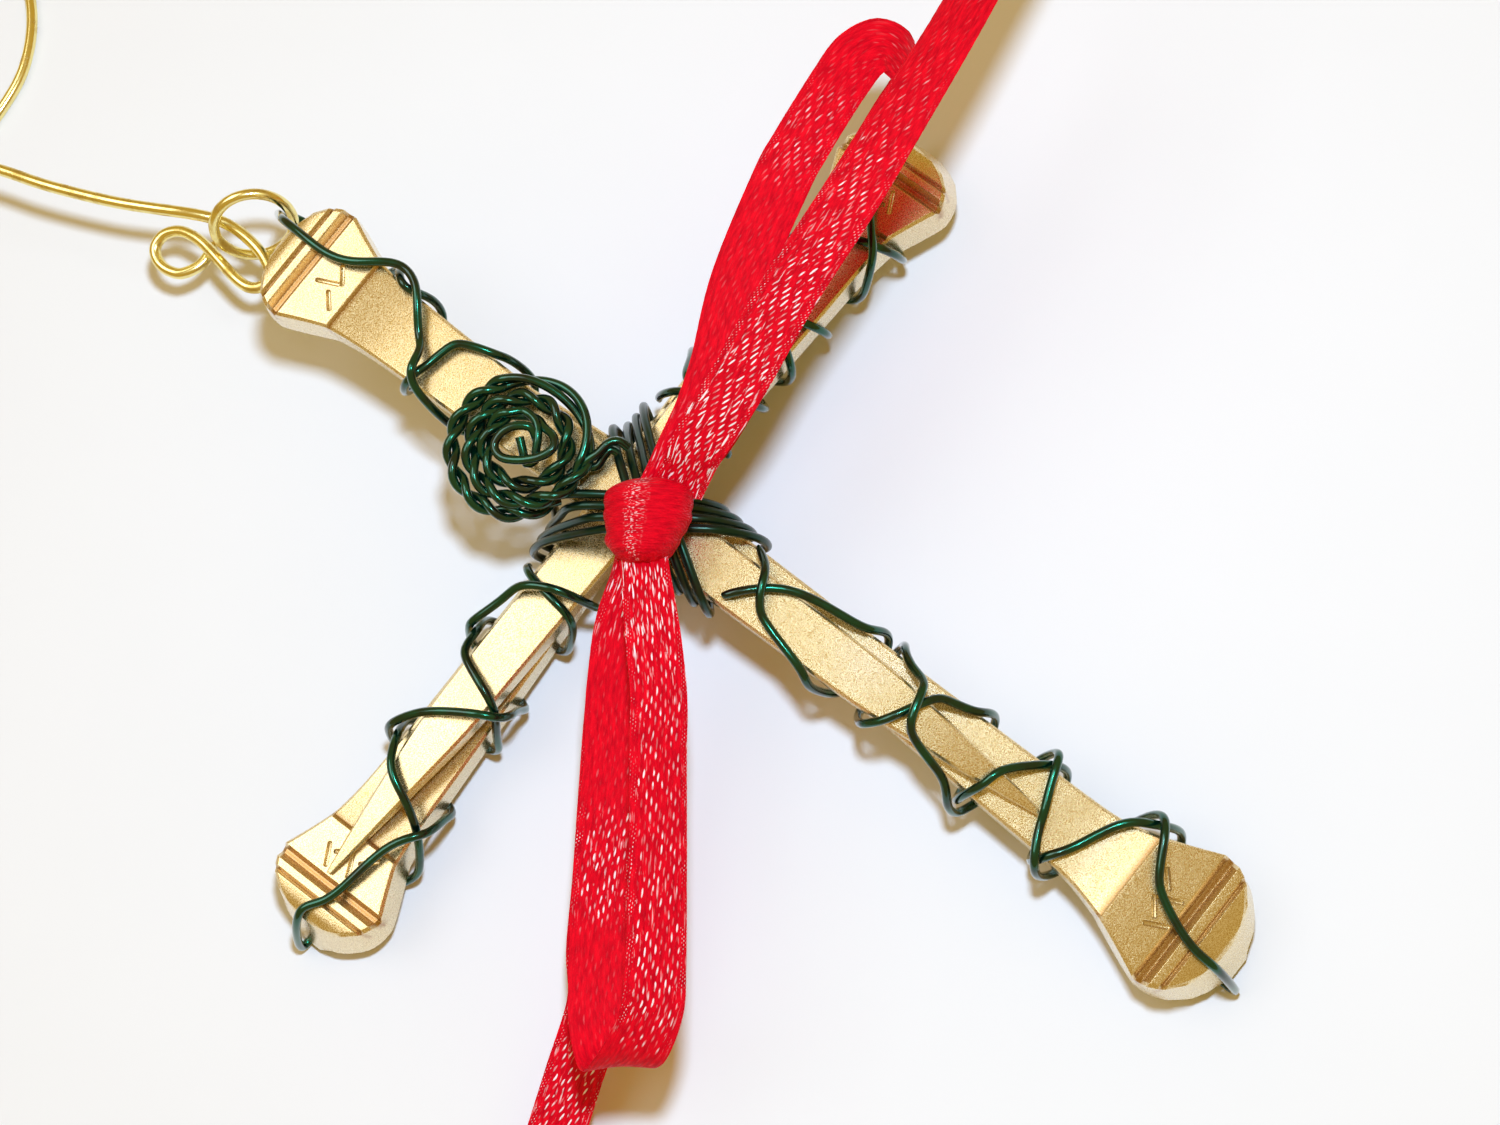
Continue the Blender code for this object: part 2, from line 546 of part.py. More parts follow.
def swell(values, reach):
    """Largest value near each place."""
    padded = np.concatenate([np.full(reach, values[0]), values, np.full(reach, values[-1])])
    return np.array([padded[i:i + 2 * reach + 1].max() for i in range(len(values))])


def from_head(points):
    """Points measured from the head of the cross, seen from the crossing."""
    return np.array(points) + np.array([0.0, TOP_REACH, 0.0])


def wind(winding, stations, arm_reach):
    """Centre line of a wire through stations of distance and angle round an arm."""
    data = np.array(stations, dtype=float)
    data[:, 0] *= arm_reach
    scaled = through(np.column_stack([data[:, 0], data[:, 1] * 0.045, np.zeros(len(data))]), WIRE_STEP)
    places = scaled[:, 0]
    angles = scaled[:, 1] / 0.045
    middles = np.array([winding.middle(at) for at in places])
    outer = np.array([winding.point(at, angle) for at, angle in zip(places, angles)])
    rays = outer - middles
    reach = np.linalg.norm(rays, axis=1)
    rays /= reach[:, None]
    return middles, rays, soften(swell(reach, 2), 2)


def closest(points, others):
    """Distance from each point to the nearest of the others."""
    if not len(others):
        return np.full(len(points), 1000.0)
    gaps = np.linalg.norm(points[:, None, :] - others[None, :, :], axis=2)
    return gaps.min(axis=1)


def lay_over(middles, rays, reach, others, need):
    """Raise a wound wire where it crosses wires that lie there already."""
    reach = reach.copy()
    for step in range(60):
        clash = closest(middles + rays * reach[:, None], others) < need
        if not clash.any():
            break
        raised = np.zeros(len(reach))
        raised[clash] = 0.06
        reach += soften(swell(raised, 2), 2)
    return middles + rays * reach[:, None]


def over_end(nail, across):
    """Points of a wire that climbs over the end of a nail's head from back to front."""
    scale = nail.scale
    lean = HEAD_LEAN * scale
    off = WIRE_OFF
    local = [(END_BACK_REACH, across, -back_drop(END_BACK_REACH, scale) - off),
             (0.0, across, -HEAD_BULGE - off * 1.05), (-lean - off * 0.9, across, -HEAD_BULGE - off * 0.9),
             (-lean - off * 1.5, across, -HEAD_BULGE + 0.35), (-lean * 0.5 - off * 1.45, across, 1.2),
             (-off * 1.2, across, HEAD_HEIGHT - 0.35), (0.3, across, HEAD_HEIGHT + off),
             (END_FRONT_REACH, across, front_height(END_FRONT_REACH, scale) + off + 0.05)]
    return [tuple(nail.matrix() @ Vector(point)) for point in local]


def thin_out(line, chord):
    """Leave out the points of a line that bend it less than the chord height."""
    keep = [0]
    last = 0
    for index in range(2, len(line)):
        a, b = line[last], line[index]
        side = b - a
        length = np.linalg.norm(side)
        between = line[last + 1:index] - a
        along = between @ (side / length)
        away = np.linalg.norm(between - along[:, None] * side / length, axis=1)
        if away.max() > chord or length > WIRE_SPAN:
            keep.append(index - 1)
            last = index - 1
    keep.append(len(line) - 1)
    return line[keep]


def arm_wire(winding, arm_reach, out, back, end_points):
    """One wire: out along an arm, over the end of the head and back again."""
    middles, rays, reach = wind(winding, out, arm_reach)
    first = middles + rays * reach[:, None]
    middles, rays, reach = wind(winding, back, arm_reach)
    second = lay_over(middles, rays, reach, even(first, 0.15), WIRE + WIRE_GAP)
    bridge = through(np.vstack([first[-3:-2], end_points, second[2:3]]), WIRE_STEP)
    line = even(np.vstack([first[:-3], bridge, second[3:]]), 0.2)
    return np.stack([soften(line[:, axis], 1) for axis in range(3)], axis=1)


def binding_band(winding, start):
    """One band of the binding: parallel turns in front, crossing over behind."""
    middles = []
    points = []
    for angle in np.arange(-170.0, 360.0 * BAND_TURNS - 190.0, 4.0):
        whole = math.floor((angle + 180.0) / 360.0)
        local = angle - whole * 360.0
        behind = min(1.0, max(0.0, (abs(local) - 95.0) / 85.0))
        at = start + BAND_PITCH * (whole + 0.5 * behind * math.copysign(1.0, local))
        points.append(winding.point(at, angle))
        middles.append(winding.middle(at))
    points = np.array(points)
    middles = np.array(middles)
    reach = np.linalg.norm(points - middles, axis=1)
    rays = (points - middles) / reach[:, None]
    line = middles + rays * soften(swell(reach, 2), 2)[:, None]
    return even(line, 0.2)


# Making the objects
def finish_object(obj, material, smooth):
    """Give an object its finish and shading."""
    obj.data.materials.clear()
    obj.data.materials.append(material)
    if smooth:
        for face in obj.data.polygons:
            face.use_smooth = True
    return obj


def build_nail(nail, material):
    """Loft one nail through its sections."""
    mesh = bpy.data.meshes.new(nail.name)
    build = bmesh.new()
    loops = []
    for s in nail_places(nail.scale):
        corners = section(s, nail.scale)
        loops.append([build.verts.new((x * MM, y * MM, z * MM)) for x, y, z in corners])
    for first, second in zip(loops, loops[1:]):
        for index in range(8):
            following = (index + 1) % 8
            build.faces.new((first[index], second[index], second[following], first[following]))
    build.faces.new(loops[0])
    build.faces.new(loops[-1][::-1])
    bmesh.ops.recalc_face_normals(build, faces=build.faces)
    build.to_mesh(mesh)
    build.free()
    obj = bpy.data.objects.new(nail.name, mesh)
    bpy.context.collection.objects.link(obj)
    matrix = nail.matrix()
    matrix.translation = matrix.translation * MM
    obj.matrix_world = matrix
    return finish_object(obj, material, False)


def build_wire(name, line, thickness, sides, material, closed=False, chord=WIRE_CHORD):
    """Round wire along a line, with flat ends or closed into a ring."""
    curve = bpy.data.curves.new(name, "CURVE")
    curve.dimensions = "3D"
    curve.bevel_depth = thickness / 2 * MM
    curve.bevel_resolution = (sides - 4) // 2
    curve.use_fill_caps = not closed
    curve.twist_mode = "MINIMUM"
    points = line if closed else thin_out(line, chord)
    spline = curve.splines.new("POLY")
    spline.points.add(len(points) - 1)
    for slot, point in zip(spline.points, points):
        slot.co = (*(point * MM), 1.0)
    spline.use_cyclic_u = closed
    spline.use_smooth = True
    obj = bpy.data.objects.new(name, curve)
    bpy.context.collection.objects.link(obj)
    curve.materials.append(material)
    return obj


def build_band(name, stations, width, thick, material, step=1.6):
    """Flat ribbon through stations of a place and the direction across it."""
    rows = np.array([[*place, *across, share] for place, across, share in stations], dtype=float)
    both = through(rows, step)
    build = bmesh.new()
    loops = []
    for index, row in enumerate(both):
        before = both[max(0, index - 1), :3]
        after = both[min(len(both) - 1, index + 1), :3]
        along = Vector(after - before).normalized()
        across = Vector(row[3:6])
        across = (across - along * across.dot(along)).normalized()
        up = across.cross(along).normalized()
        centre = Vector(row[:3])
        half = width * row[6] / 2
        corners = [(-1, -1), (1, -1), (1, 1), (-1, 1)]
        loops.append([build.verts.new((centre + across * (a * half) + up * (b * thick / 2)) * MM)
                      for a, b in corners])
    for first, second in zip(loops, loops[1:]):
        for index in range(4):
            following = (index + 1) % 4
            build.faces.new((first[index], second[index], second[following], first[following]))
    build.faces.new(loops[0])
    build.faces.new(loops[-1][::-1])
    bmesh.ops.recalc_face_normals(build, faces=build.faces)
    mesh = bpy.data.meshes.new(name)
    build.to_mesh(mesh)
    build.free()
    obj = bpy.data.objects.new(name, mesh)
    bpy.context.collection.objects.link(obj)
    return finish_object(obj, material, False)


def build_knot(name, floor, material):
    """Rounded knot with the soft ridges of the ribbon drawn round it."""
    along = math.radians(RIBBON_HEADING)
    direction = Vector((math.cos(along), math.sin(along), 0.0))
    across = Vector((math.sin(along), -math.cos(along), 0.0))
    half_long, half_wide, half_high = KNOT_HALF
    centre = Vector((*KNOT_CENTRE, floor + half_high))
    build = bmesh.new()
    loops = []
    rows = 9
    columns = 18
    for row in range(rows):
        share = -1.0 + 2.0 * (row + 0.5) / rows
        profile = (1.0 - abs(share) ** 3.2) ** (1 / 2.4)
        fold = 1.0 + 0.05 * math.cos(share * math.pi * 3.0)
        loop = []
        for column in range(columns):
            angle = 2 * math.pi * column / columns
            side = math.copysign(abs(math.cos(angle)) ** 0.8, math.cos(angle)) * half_wide
            high = math.copysign(abs(math.sin(angle)) ** 0.8, math.sin(angle)) * half_high
            high = max(high * profile * fold, -half_high)
            place = centre + direction * (share * half_long) + across * (side * profile * fold)
            place.z += high
            loop.append(build.verts.new(place * MM))
        loops.append(loop)
    for first, second in zip(loops, loops[1:]):
        for index in range(columns):
            following = (index + 1) % columns
            build.faces.new((first[index], second[index], second[following], first[following]))
    build.faces.new(loops[0])
    build.faces.new(loops[-1][::-1])
    bmesh.ops.recalc_face_normals(build, faces=build.faces)
    mesh = bpy.data.meshes.new(name)
    build.to_mesh(mesh)
    build.free()
    obj = bpy.data.objects.new(name, mesh)
    bpy.context.collection.objects.link(obj)
    return finish_object(obj, material, True)


def rose_line(side, height):
    """One of the two wires twisted together and coiled flat as a rose."""
    length = 0.0
    line = []
    last = None
    spread = np.array(ROSE_COIL) * (8.0, 1.0, 1.0)
    for place, radius, rise in through(spread, 0.06):
        heading = math.radians(ROSE_FROM) - 2 * math.pi * place / 8.0
        radial = np.array([math.cos(heading), math.sin(heading), 0.0])
        core = np.array([*ROSE_CENTRE, height + rise]) + radial * radius
        core[2] += radial[1] * radius * math.tan(math.radians(-TOP_SLOPE))
        if last is not None:
            length += np.linalg.norm(core - last)
        last = core
        turn = 2 * math.pi * length / ROSE_TWIST_PITCH + math.pi * side
        offset = radial * math.cos(turn) + np.array([0.0, 0.0, 1.0]) * math.sin(turn)
        line.append(core + offset * ROSE_TWIST_OFFSET)
    return np.array(line)


def ring_line():
    """Centre line of the jump ring."""
    heading = math.radians(RING_HEADING)
    tilt = math.radians(RING_TILT)
    major = np.array([math.cos(heading), math.sin(heading), 0.0])
    minor = np.array([math.sin(heading) * math.cos(tilt), -math.cos(heading) * math.cos(tilt),
                      math.sin(tilt)])
    centre = from_head(RING_CENTRE)
    angles = np.linspace(0.0, 2 * math.pi, 28, endpoint=False)
    return np.array([centre + RING_RADIUS * (math.cos(a) * major + math.sin(a) * minor) for a in angles])


def hook_line():
    """Centre line of the hook with its crook."""
    points = list(HOOK_LINE)
    for angle in np.linspace(CROOK_FROM, CROOK_TO, 12):
        a = math.radians(angle)
        share = min(1.0, max(0.0, (angle - CROOK_DOWN_AT) / (CROOK_FROM - CROOK_DOWN_AT)))
        rise = (CROOK_START_HEIGHT - HOOK_WIRE / 2) * share * share * (3.0 - 2.0 * share)
        points.append((CROOK_CENTRE[0] + CROOK_RADIUS * math.cos(a),
                       CROOK_CENTRE[1] + CROOK_RADIUS * math.sin(a), HOOK_WIRE / 2 + rise))
    return even(through(from_head(points), 0.3), 0.3)


def main():
    """Build every piece."""
    for obj in list(bpy.data.objects):
        bpy.data.objects.remove(obj)
    nail_gold = make_finish("champagne_gold", (0.62, 0.52, 0.33), 0.9, 0.42)
    green = make_finish("green_enamel", (0.004, 0.11, 0.06), 0.3, 0.25)
    gold = make_finish("gold_wire", (0.72, 0.52, 0.16), 1.0, 0.22)
    red = make_finish("red_satin", (0.72, 0.01, 0.03), 0.0, 0.45)

    nails = build_stack()
    for nail in nails.values():
        build_nail(nail, nail_gold)
    cloud = np.vstack([nail.cloud() for nail in nails.values()])
    bar = np.vstack([nails["left"].cloud(), nails["right"].cloud()])
    upright = np.vstack([nails["foot"].cloud(), nails["top"].cloud()])

    first_heading = math.radians(FIRST_BAND_HEADING)
    first_normal = (-math.sin(first_heading), math.cos(first_heading))
    near = cloud[np.hypot(cloud[:, 0], cloud[:, 1]) < 12.0]
    first_band = binding_band(Winding(near, first_normal, SLAB), FIRST_BAND_START)
    second_heading = math.radians(SECOND_BAND_HEADING)
    second_normal = (-math.sin(second_heading), math.cos(second_heading))
    sides = ((0, 0, 1), (0, 0, -1), (1, 0, 0), (-1, 0, 0), (0, 1, 0), (0, -1, 0))
    shell = np.vstack([first_band + np.array(side) * (WIRE_RADIUS + BAND_EASE) for side in sides])
    second_band = binding_band(Winding(np.vstack([near, shell]), second_normal, SLAB), SECOND_BAND_START)
    build_wire("binding_lower_band", first_band, WIRE, 6, green)
    build_wire("binding_upper_band", second_band, WIRE, 6, green)

    arms = {
        "left": (Winding(bar, (-1, 0), SLAB), LEFT_OUT, LEFT_BACK,
                 over_end(nails["left"], LEFT_END_ACROSS)),
        "foot": (Winding(upright, (0, -1), SLAB), FOOT_OUT, FOOT_BACK,
                 over_end(nails["foot"], FOOT_END_ACROSS)),
        "right": (Winding(bar, (1, 0), SLAB), RIGHT_OUT, RIGHT_BACK,
                  over_end(nails["right"], RIGHT_END_ACROSS)),
        "top": (Winding(upright, (0, 1), SLAB), TOP_OUT, TOP_BACK, from_head(RING_LOOP)),
    }
    for arm, (winding, out, back, end_points) in arms.items():
        line = arm_wire(winding, nails[arm].reach, out, back, np.array(end_points))
        build_wire("wire_" + arm + "_arm", line, WIRE, 6, green)

    centre = np.array([[*ROSE_CENTRE, 0.0]])
    rose_height = float(nails["top"].fronts_under(centre)[0]) + ROSE_TWIST_OFFSET + WIRE_OFF + ROSE_EASE
    build_wire("rose_wire_one", rose_line(0, rose_height), WIRE, 6, green, chord=0.045)
    build_wire("rose_wire_two", rose_line(1, rose_height), WIRE, 6, green, chord=0.045)
    build_wire("jump_ring", ring_line(), RING_WIRE, 8, gold, closed=True)
    build_wire("hanging_hook", hook_line(), HOOK_WIRE, 8, gold, chord=0.03)

    knot_floor = max(first_band[:, 2].max(), second_band[:, 2].max()) + WIRE_OFF
    build_knot("ribbon_knot", knot_floor, red)
    build_band("ribbon_top_loop", TOP_LOOP, RIBBON_WIDTH, RIBBON_THICK, red)
    build_band("ribbon_upper_tail", UPPER_TAIL, RIBBON_WIDTH, RIBBON_THICK, red, step=3.0)
    build_band("ribbon_bottom_loop", BOTTOM_LOOP, RIBBON_WIDTH, RIBBON_THICK, red)
    build_band("ribbon_lower_tail", LOWER_TAIL, RIBBON_WIDTH, RIBBON_THICK, red, step=3.0)

    for obj in bpy.data.objects:
        obj.location -= Vector(ORIGIN) * MM


main()
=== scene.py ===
"""Hanging cross of four horseshoe nails bound with green enamelled wire.

A red satin ribbon is tied over the crossing, a small rose is twisted from two wires
above it, and a jump ring holds a gold hanging hook. The ornament lies on white card.

Sizes are written in millimetres. Places are measured from the card under the crossing
of the two beams, with +Y to the head of the cross, +X to its right arm and +Z up, and
table_point turns them into the frame's metres.
"""
import json
import logging
import math
from dataclasses import dataclass
from enum import Enum
from typing import Callable, Iterable, Sequence

import bpy
import numpy as np
from mathutils import Matrix, Vector

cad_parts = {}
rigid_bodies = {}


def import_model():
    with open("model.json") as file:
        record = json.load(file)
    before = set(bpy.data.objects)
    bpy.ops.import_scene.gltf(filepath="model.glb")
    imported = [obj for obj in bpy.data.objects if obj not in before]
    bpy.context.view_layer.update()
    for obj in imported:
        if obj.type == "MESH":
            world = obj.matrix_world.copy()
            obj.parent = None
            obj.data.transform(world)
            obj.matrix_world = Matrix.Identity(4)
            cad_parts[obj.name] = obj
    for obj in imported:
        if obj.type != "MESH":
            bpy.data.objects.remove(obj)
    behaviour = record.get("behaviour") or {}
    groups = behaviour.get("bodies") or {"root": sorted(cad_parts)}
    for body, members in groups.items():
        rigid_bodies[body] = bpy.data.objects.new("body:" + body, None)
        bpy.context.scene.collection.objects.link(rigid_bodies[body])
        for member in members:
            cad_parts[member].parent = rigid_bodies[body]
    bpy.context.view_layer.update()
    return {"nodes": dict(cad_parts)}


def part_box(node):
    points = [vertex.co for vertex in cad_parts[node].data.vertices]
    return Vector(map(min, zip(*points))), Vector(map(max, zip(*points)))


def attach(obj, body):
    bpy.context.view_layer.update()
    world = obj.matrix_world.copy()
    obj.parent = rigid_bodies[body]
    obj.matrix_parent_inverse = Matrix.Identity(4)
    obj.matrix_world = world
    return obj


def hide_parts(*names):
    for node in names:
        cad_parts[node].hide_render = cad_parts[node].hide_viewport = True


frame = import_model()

LOG = logging.getLogger("nail_cross")

MM = 0.001

# Place of the frame's origin, seen from the crossing of the beams
ORIGIN = (-1.37, 15.69, 0.02)

RIBBON_WIDTH = 3.3
WIRE_RADIUS = 0.2555

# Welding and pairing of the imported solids' triangles
WELD_DISTANCE = 0.002 * MM
PAIR_ANGLE = 50.0

Place = tuple[float, float, float]
Station = tuple[Place, Place, float]


class Slot(Enum):
    """The record's material slots."""

    NAIL = "champagne_gold"
    ENAMEL = "green_enamel"
    GOLD = "gold_wire"
    SATIN = "red_satin"


def table_point(x: float, y: float, z: float) -> Vector:
    """Turn a place in millimetres from the crossing into the frame's metres.

    Args:
        x: Distance to the right arm.
        y: Distance to the head of the cross.
        z: Height above the card.

    Returns:
        The same place in the frame.
    """
    return Vector((x - ORIGIN[0], y - ORIGIN[1], z - ORIGIN[2])) * MM


# Colours and nodes
def linear(hex_colour: str) -> tuple[float, float, float, float]:
    """Turn an sRGB hex colour into linear light with full opacity.

    Args:
        hex_colour: Six hex digits after a hash sign.

    Returns:
        Red, green, blue and opacity.
    """
    digits = hex_colour.lstrip("#")
    parts = [int(digits[i:i + 2], 16) / 255 for i in (0, 2, 4)]
    light = [p / 12.92 if p <= 0.04045 else ((p + 0.055) / 1.055) ** 2.4 for p in parts]
    return (light[0], light[1], light[2], 1.0)


def feed(tree: bpy.types.NodeTree, node: bpy.types.Node, settings: dict, links: dict) -> None:
    """Set a node's values and link what feeds it.

    Args:
        tree: Node tree that the node is in.
        node: The node.
        settings: Values by property name, or by the name or number of a socket.
        links: Output sockets by the name or number of the input that each feeds.
    """
    for name, value in settings.items():
        if isinstance(name, str) and hasattr(node, name):
            setattr(node, name, value)
        else:
            node.inputs[name].default_value = value
    for name, socket in links.items():
        tree.links.new(socket, node.inputs[name])


def add_node(tree: bpy.types.NodeTree, kind: str, settings: dict | None = None,
             links: dict | None = None) -> bpy.types.Node:
    """Add one node with its settings and what feeds it.

    Args:
        tree: Node tree that gets the node.
        kind: Type of the node, without the words ShaderNode.
        settings: Its values, as feed takes them.
        links: What feeds it, as feed takes it.

    Returns:
        The new node.
    """
    node = tree.nodes.new("ShaderNode" + kind)
    feed(tree, node, settings or {}, links or {})
    return node


def work_out(tree: bpy.types.NodeTree, known: dict, steps: Sequence[tuple]) -> dict:
    """Work out a drawn pattern step by step.

    Args:
        tree: Node tree that gets the steps.
        known: Sockets by name, to which each step's result is added.
        steps: Name of the result, operation, and numbers or names of earlier results.

    Returns:
        All the sockets by name.
    """
    for name, operation, *values in steps:
        fixed = {i: v for i, v in enumerate(values) if not isinstance(v, str)}
        fed = {i: known[v] for i, v in enumerate(values) if isinstance(v, str)}
        known[name] = add_node(tree, "Math", {"operation": operation, **fixed}, fed).outputs[0]
    return known


@dataclass(frozen=True)
class Finish:
    """A surface finish that builds its material once."""

    name: str
    slot: Slot | None

    def wire_up(self, tree: bpy.types.NodeTree, shader: bpy.types.Node) -> None:
        """Feed the shader. Each finish says how.

        Args:
            tree: The material's node tree.
            shader: The material's Principled shader.
        """
        raise NotImplementedError

    def material(self) -> bpy.types.Material:
        """Return the finish's material, making it at the first call."""
        known = bpy.data.materials.get(self.name)
        if known is not None:
            return known
        made = bpy.data.materials.new(self.name)
        made.use_nodes = True
        self.wire_up(made.node_tree, made.node_tree.nodes["Principled BSDF"])
        return made


@dataclass(frozen=True)
class SparkleCoating(Finish):
    """Champagne gold lacquer with metal flake over a forged steel nail.

    Flake in clear lacquer gives the eye a pale gold ground full of tiny bright and dark specks,
    which are painted sparkle in the colour over drawn flake relief, a glassy top that mirrors the
    card at the sides, and warm brown grooves, where the shade is painted into the colour.
    """

    name: str = "champagne flake lacquer"
    slot: Slot | None = Slot.NAIL
    pale: str = "#FFF2CC"
    deep: str = "#D2B470"
    # Colour of the shade painted into the grooves
    painted_groove_shade: str = "#A8742E"
    flake: float = 0.06
    roughness: float = 0.24

    def wire_up(self, tree: bpy.types.NodeTree, shader: bpy.types.Node) -> None:
        """Feed flake with its painted sparkle, slow changes of tone at random and the shade painted into
        the grooves to the shader.

        Args:
            tree: The material's node tree.
            shader: The material's Principled shader.
        """
        place = add_node(tree, "TexCoord").outputs["Object"]
        # Real flake is about 0.03 mm, drawn coarser so that it shows at this distance
        flake = add_node(tree, "TexNoise", {"Scale": 1000 / self.flake, "Detail": 1.5,
                                                      "Roughness": 0.6}, {"Vector": place})
        slow = add_node(tree, "TexNoise", {"Scale": 260.0, "Detail": 2.0}, {"Vector": place})
        # Painted highlight and shade: the flake's sparkle is painted as pale and deep specks in the
        # colour, while the same flake is drawn as real roughness and bump
        painted_sparkle = add_node(tree, "MapRange", {"From Min": 0.36, "From Max": 0.64},
                         {"Value": flake.outputs["Fac"]})
        ground = add_node(tree, "Mix", {"data_type": "RGBA", 6: linear(self.deep),
                                                  7: linear(self.pale)}, {0: painted_sparkle.outputs["Result"]})
        shade = add_node(tree, "MapRange", {"From Min": 0.3, "From Max": 0.7, "To Min": 0.0,
                                                      "To Max": 0.22}, {"Value": slow.outputs["Fac"]})
        toned = add_node(tree, "Mix", {"data_type": "RGBA", 7: linear(self.deep)},
                         {0: shade.outputs["Result"], 6: ground.outputs[2]})
        # Painted shade: the grooves of the head are darkened to warm brown in the colour
        groove_shade_share = add_node(tree, "Attribute", {"attribute_name": "painted_groove_shade"})
        final = add_node(tree, "Mix", {"data_type": "RGBA", 7: linear(self.painted_groove_shade)},
                         {0: groove_shade_share.outputs["Fac"], 6: toned.outputs[2]})
        rough = add_node(tree, "MapRange", {"From Min": 0.3, "From Max": 0.7,
                                                      "To Min": self.roughness - 0.06,
                                                      "To Max": self.roughness + 0.12},
                         {"Value": flake.outputs["Fac"]})
        grain = add_node(tree, "Bump", {"Strength": 0.4, "Distance": 0.00002},
                         {"Height": flake.outputs["Fac"]})
        feed(tree, shader, {"Metallic": 0.92, "Coat Weight": 0.4, "Coat Roughness": 0.1},
             {"Base Color": final.outputs[2],
              "Roughness": rough.outputs["Result"],
              "Normal": grain.outputs["Normal"]})


@dataclass(frozen=True)
class EnamelledCopper(Finish):
    """Green dyed enamel baked on drawn copper wire.

    Clear dyed enamel lets the copper mirror through it, so the wire looks nearly black
    with emerald glints, and its glossy skin adds small white ones.
    """

    name: str = "green enamelled copper"
    slot: Slot | None = Slot.ENAMEL
    colour: str = "#07503C"
    worn: str = "#1B332A"
    roughness: float = 0.2
    gloss: float = 0.8

    def wire_up(self, tree: bpy.types.NodeTree, shader: bpy.types.Node) -> None:
        """Feed the enamel's uneven dye and its faint draw marks to the shader.

        Args:
            tree: The material's node tree.
            shader: The material's Principled shader.
        """
        place = add_node(tree, "TexCoord").outputs["Object"]
        # The dye gathers and thins every millimetre or two
        dye = add_node(tree, "TexNoise", {"Scale": 700.0, "Detail": 3.0}, {"Vector": place})
        share = add_node(tree, "MapRange", {"From Min": 0.42, "From Max": 0.66},
                         {"Value": dye.outputs["Fac"]})
        colour = add_node(tree, "Mix", {"data_type": "RGBA", 6: linear(self.colour),
                                                  7: linear(self.worn)}, {0: share.outputs["Result"]})
        # Handling marks of about a tenth of a millimetre
        marks = add_node(tree, "TexNoise", {"Scale": 9000.0, "Detail": 2.0}, {"Vector": place})
        skin = add_node(tree, "Bump", {"Strength": 0.25, "Distance": 0.00001},
                        {"Height": marks.outputs["Fac"]})
        feed(tree, shader, {"Metallic": 0.9, "Roughness": self.roughness,
                            "Coat Weight": self.gloss, "Coat Roughness": 0.04},
             {"Base Color": colour.outputs[2],
              "Normal": skin.outputs["Normal"]})


@dataclass(frozen=True)
class GoldPlatedWire(Finish):
    """Bright gold plate on drawn brass wire.

    Plate over drawn wire gives the eye a yellow mirror with faint lines and small dull
    patches from the pliers.
    """

    name: str = "bright gold plate"
    slot: Slot | None = Slot.GOLD
    colour: str = "#F4E59C"
    dull: str = "#CDB05A"

    def wire_up(self, tree: bpy.types.NodeTree, shader: bpy.types.Node) -> None:
        """Feed plier marks and drawn grain to the shader.

        Args:
            tree: The material's node tree.
            shader: The material's Principled shader.
        """
        place = add_node(tree, "TexCoord").outputs["Object"]
        patch = add_node(tree, "TexNoise", {"Scale": 900.0, "Detail": 3.0}, {"Vector": place})
        share = add_node(tree, "MapRange", {"From Min": 0.5, "From Max": 0.72},
                         {"Value": patch.outputs["Fac"]})
        colour = add_node(tree, "Mix", {"data_type": "RGBA", 6: linear(self.colour),
                                                  7: linear(self.dull)}, {0: share.outputs["Result"]})
        rough = add_node(tree, "MapRange", {"To Min": 0.2, "To Max": 0.4},
                         {"Value": share.outputs["Result"]})
        grain = add_node(tree, "TexNoise", {"Scale": 7000.0, "Detail": 2.0}, {"Vector": place})
        skin = add_node(tree, "Bump", {"Strength": 0.2, "Distance": 0.00001},
                        {"Height": grain.outputs["Fac"]})
        feed(tree, shader, {"Metallic": 1.0},
             {"Base Color": colour.outputs[2],
              "Roughness": rough.outputs["Result"],
              "Normal": skin.outputs["Normal"]})


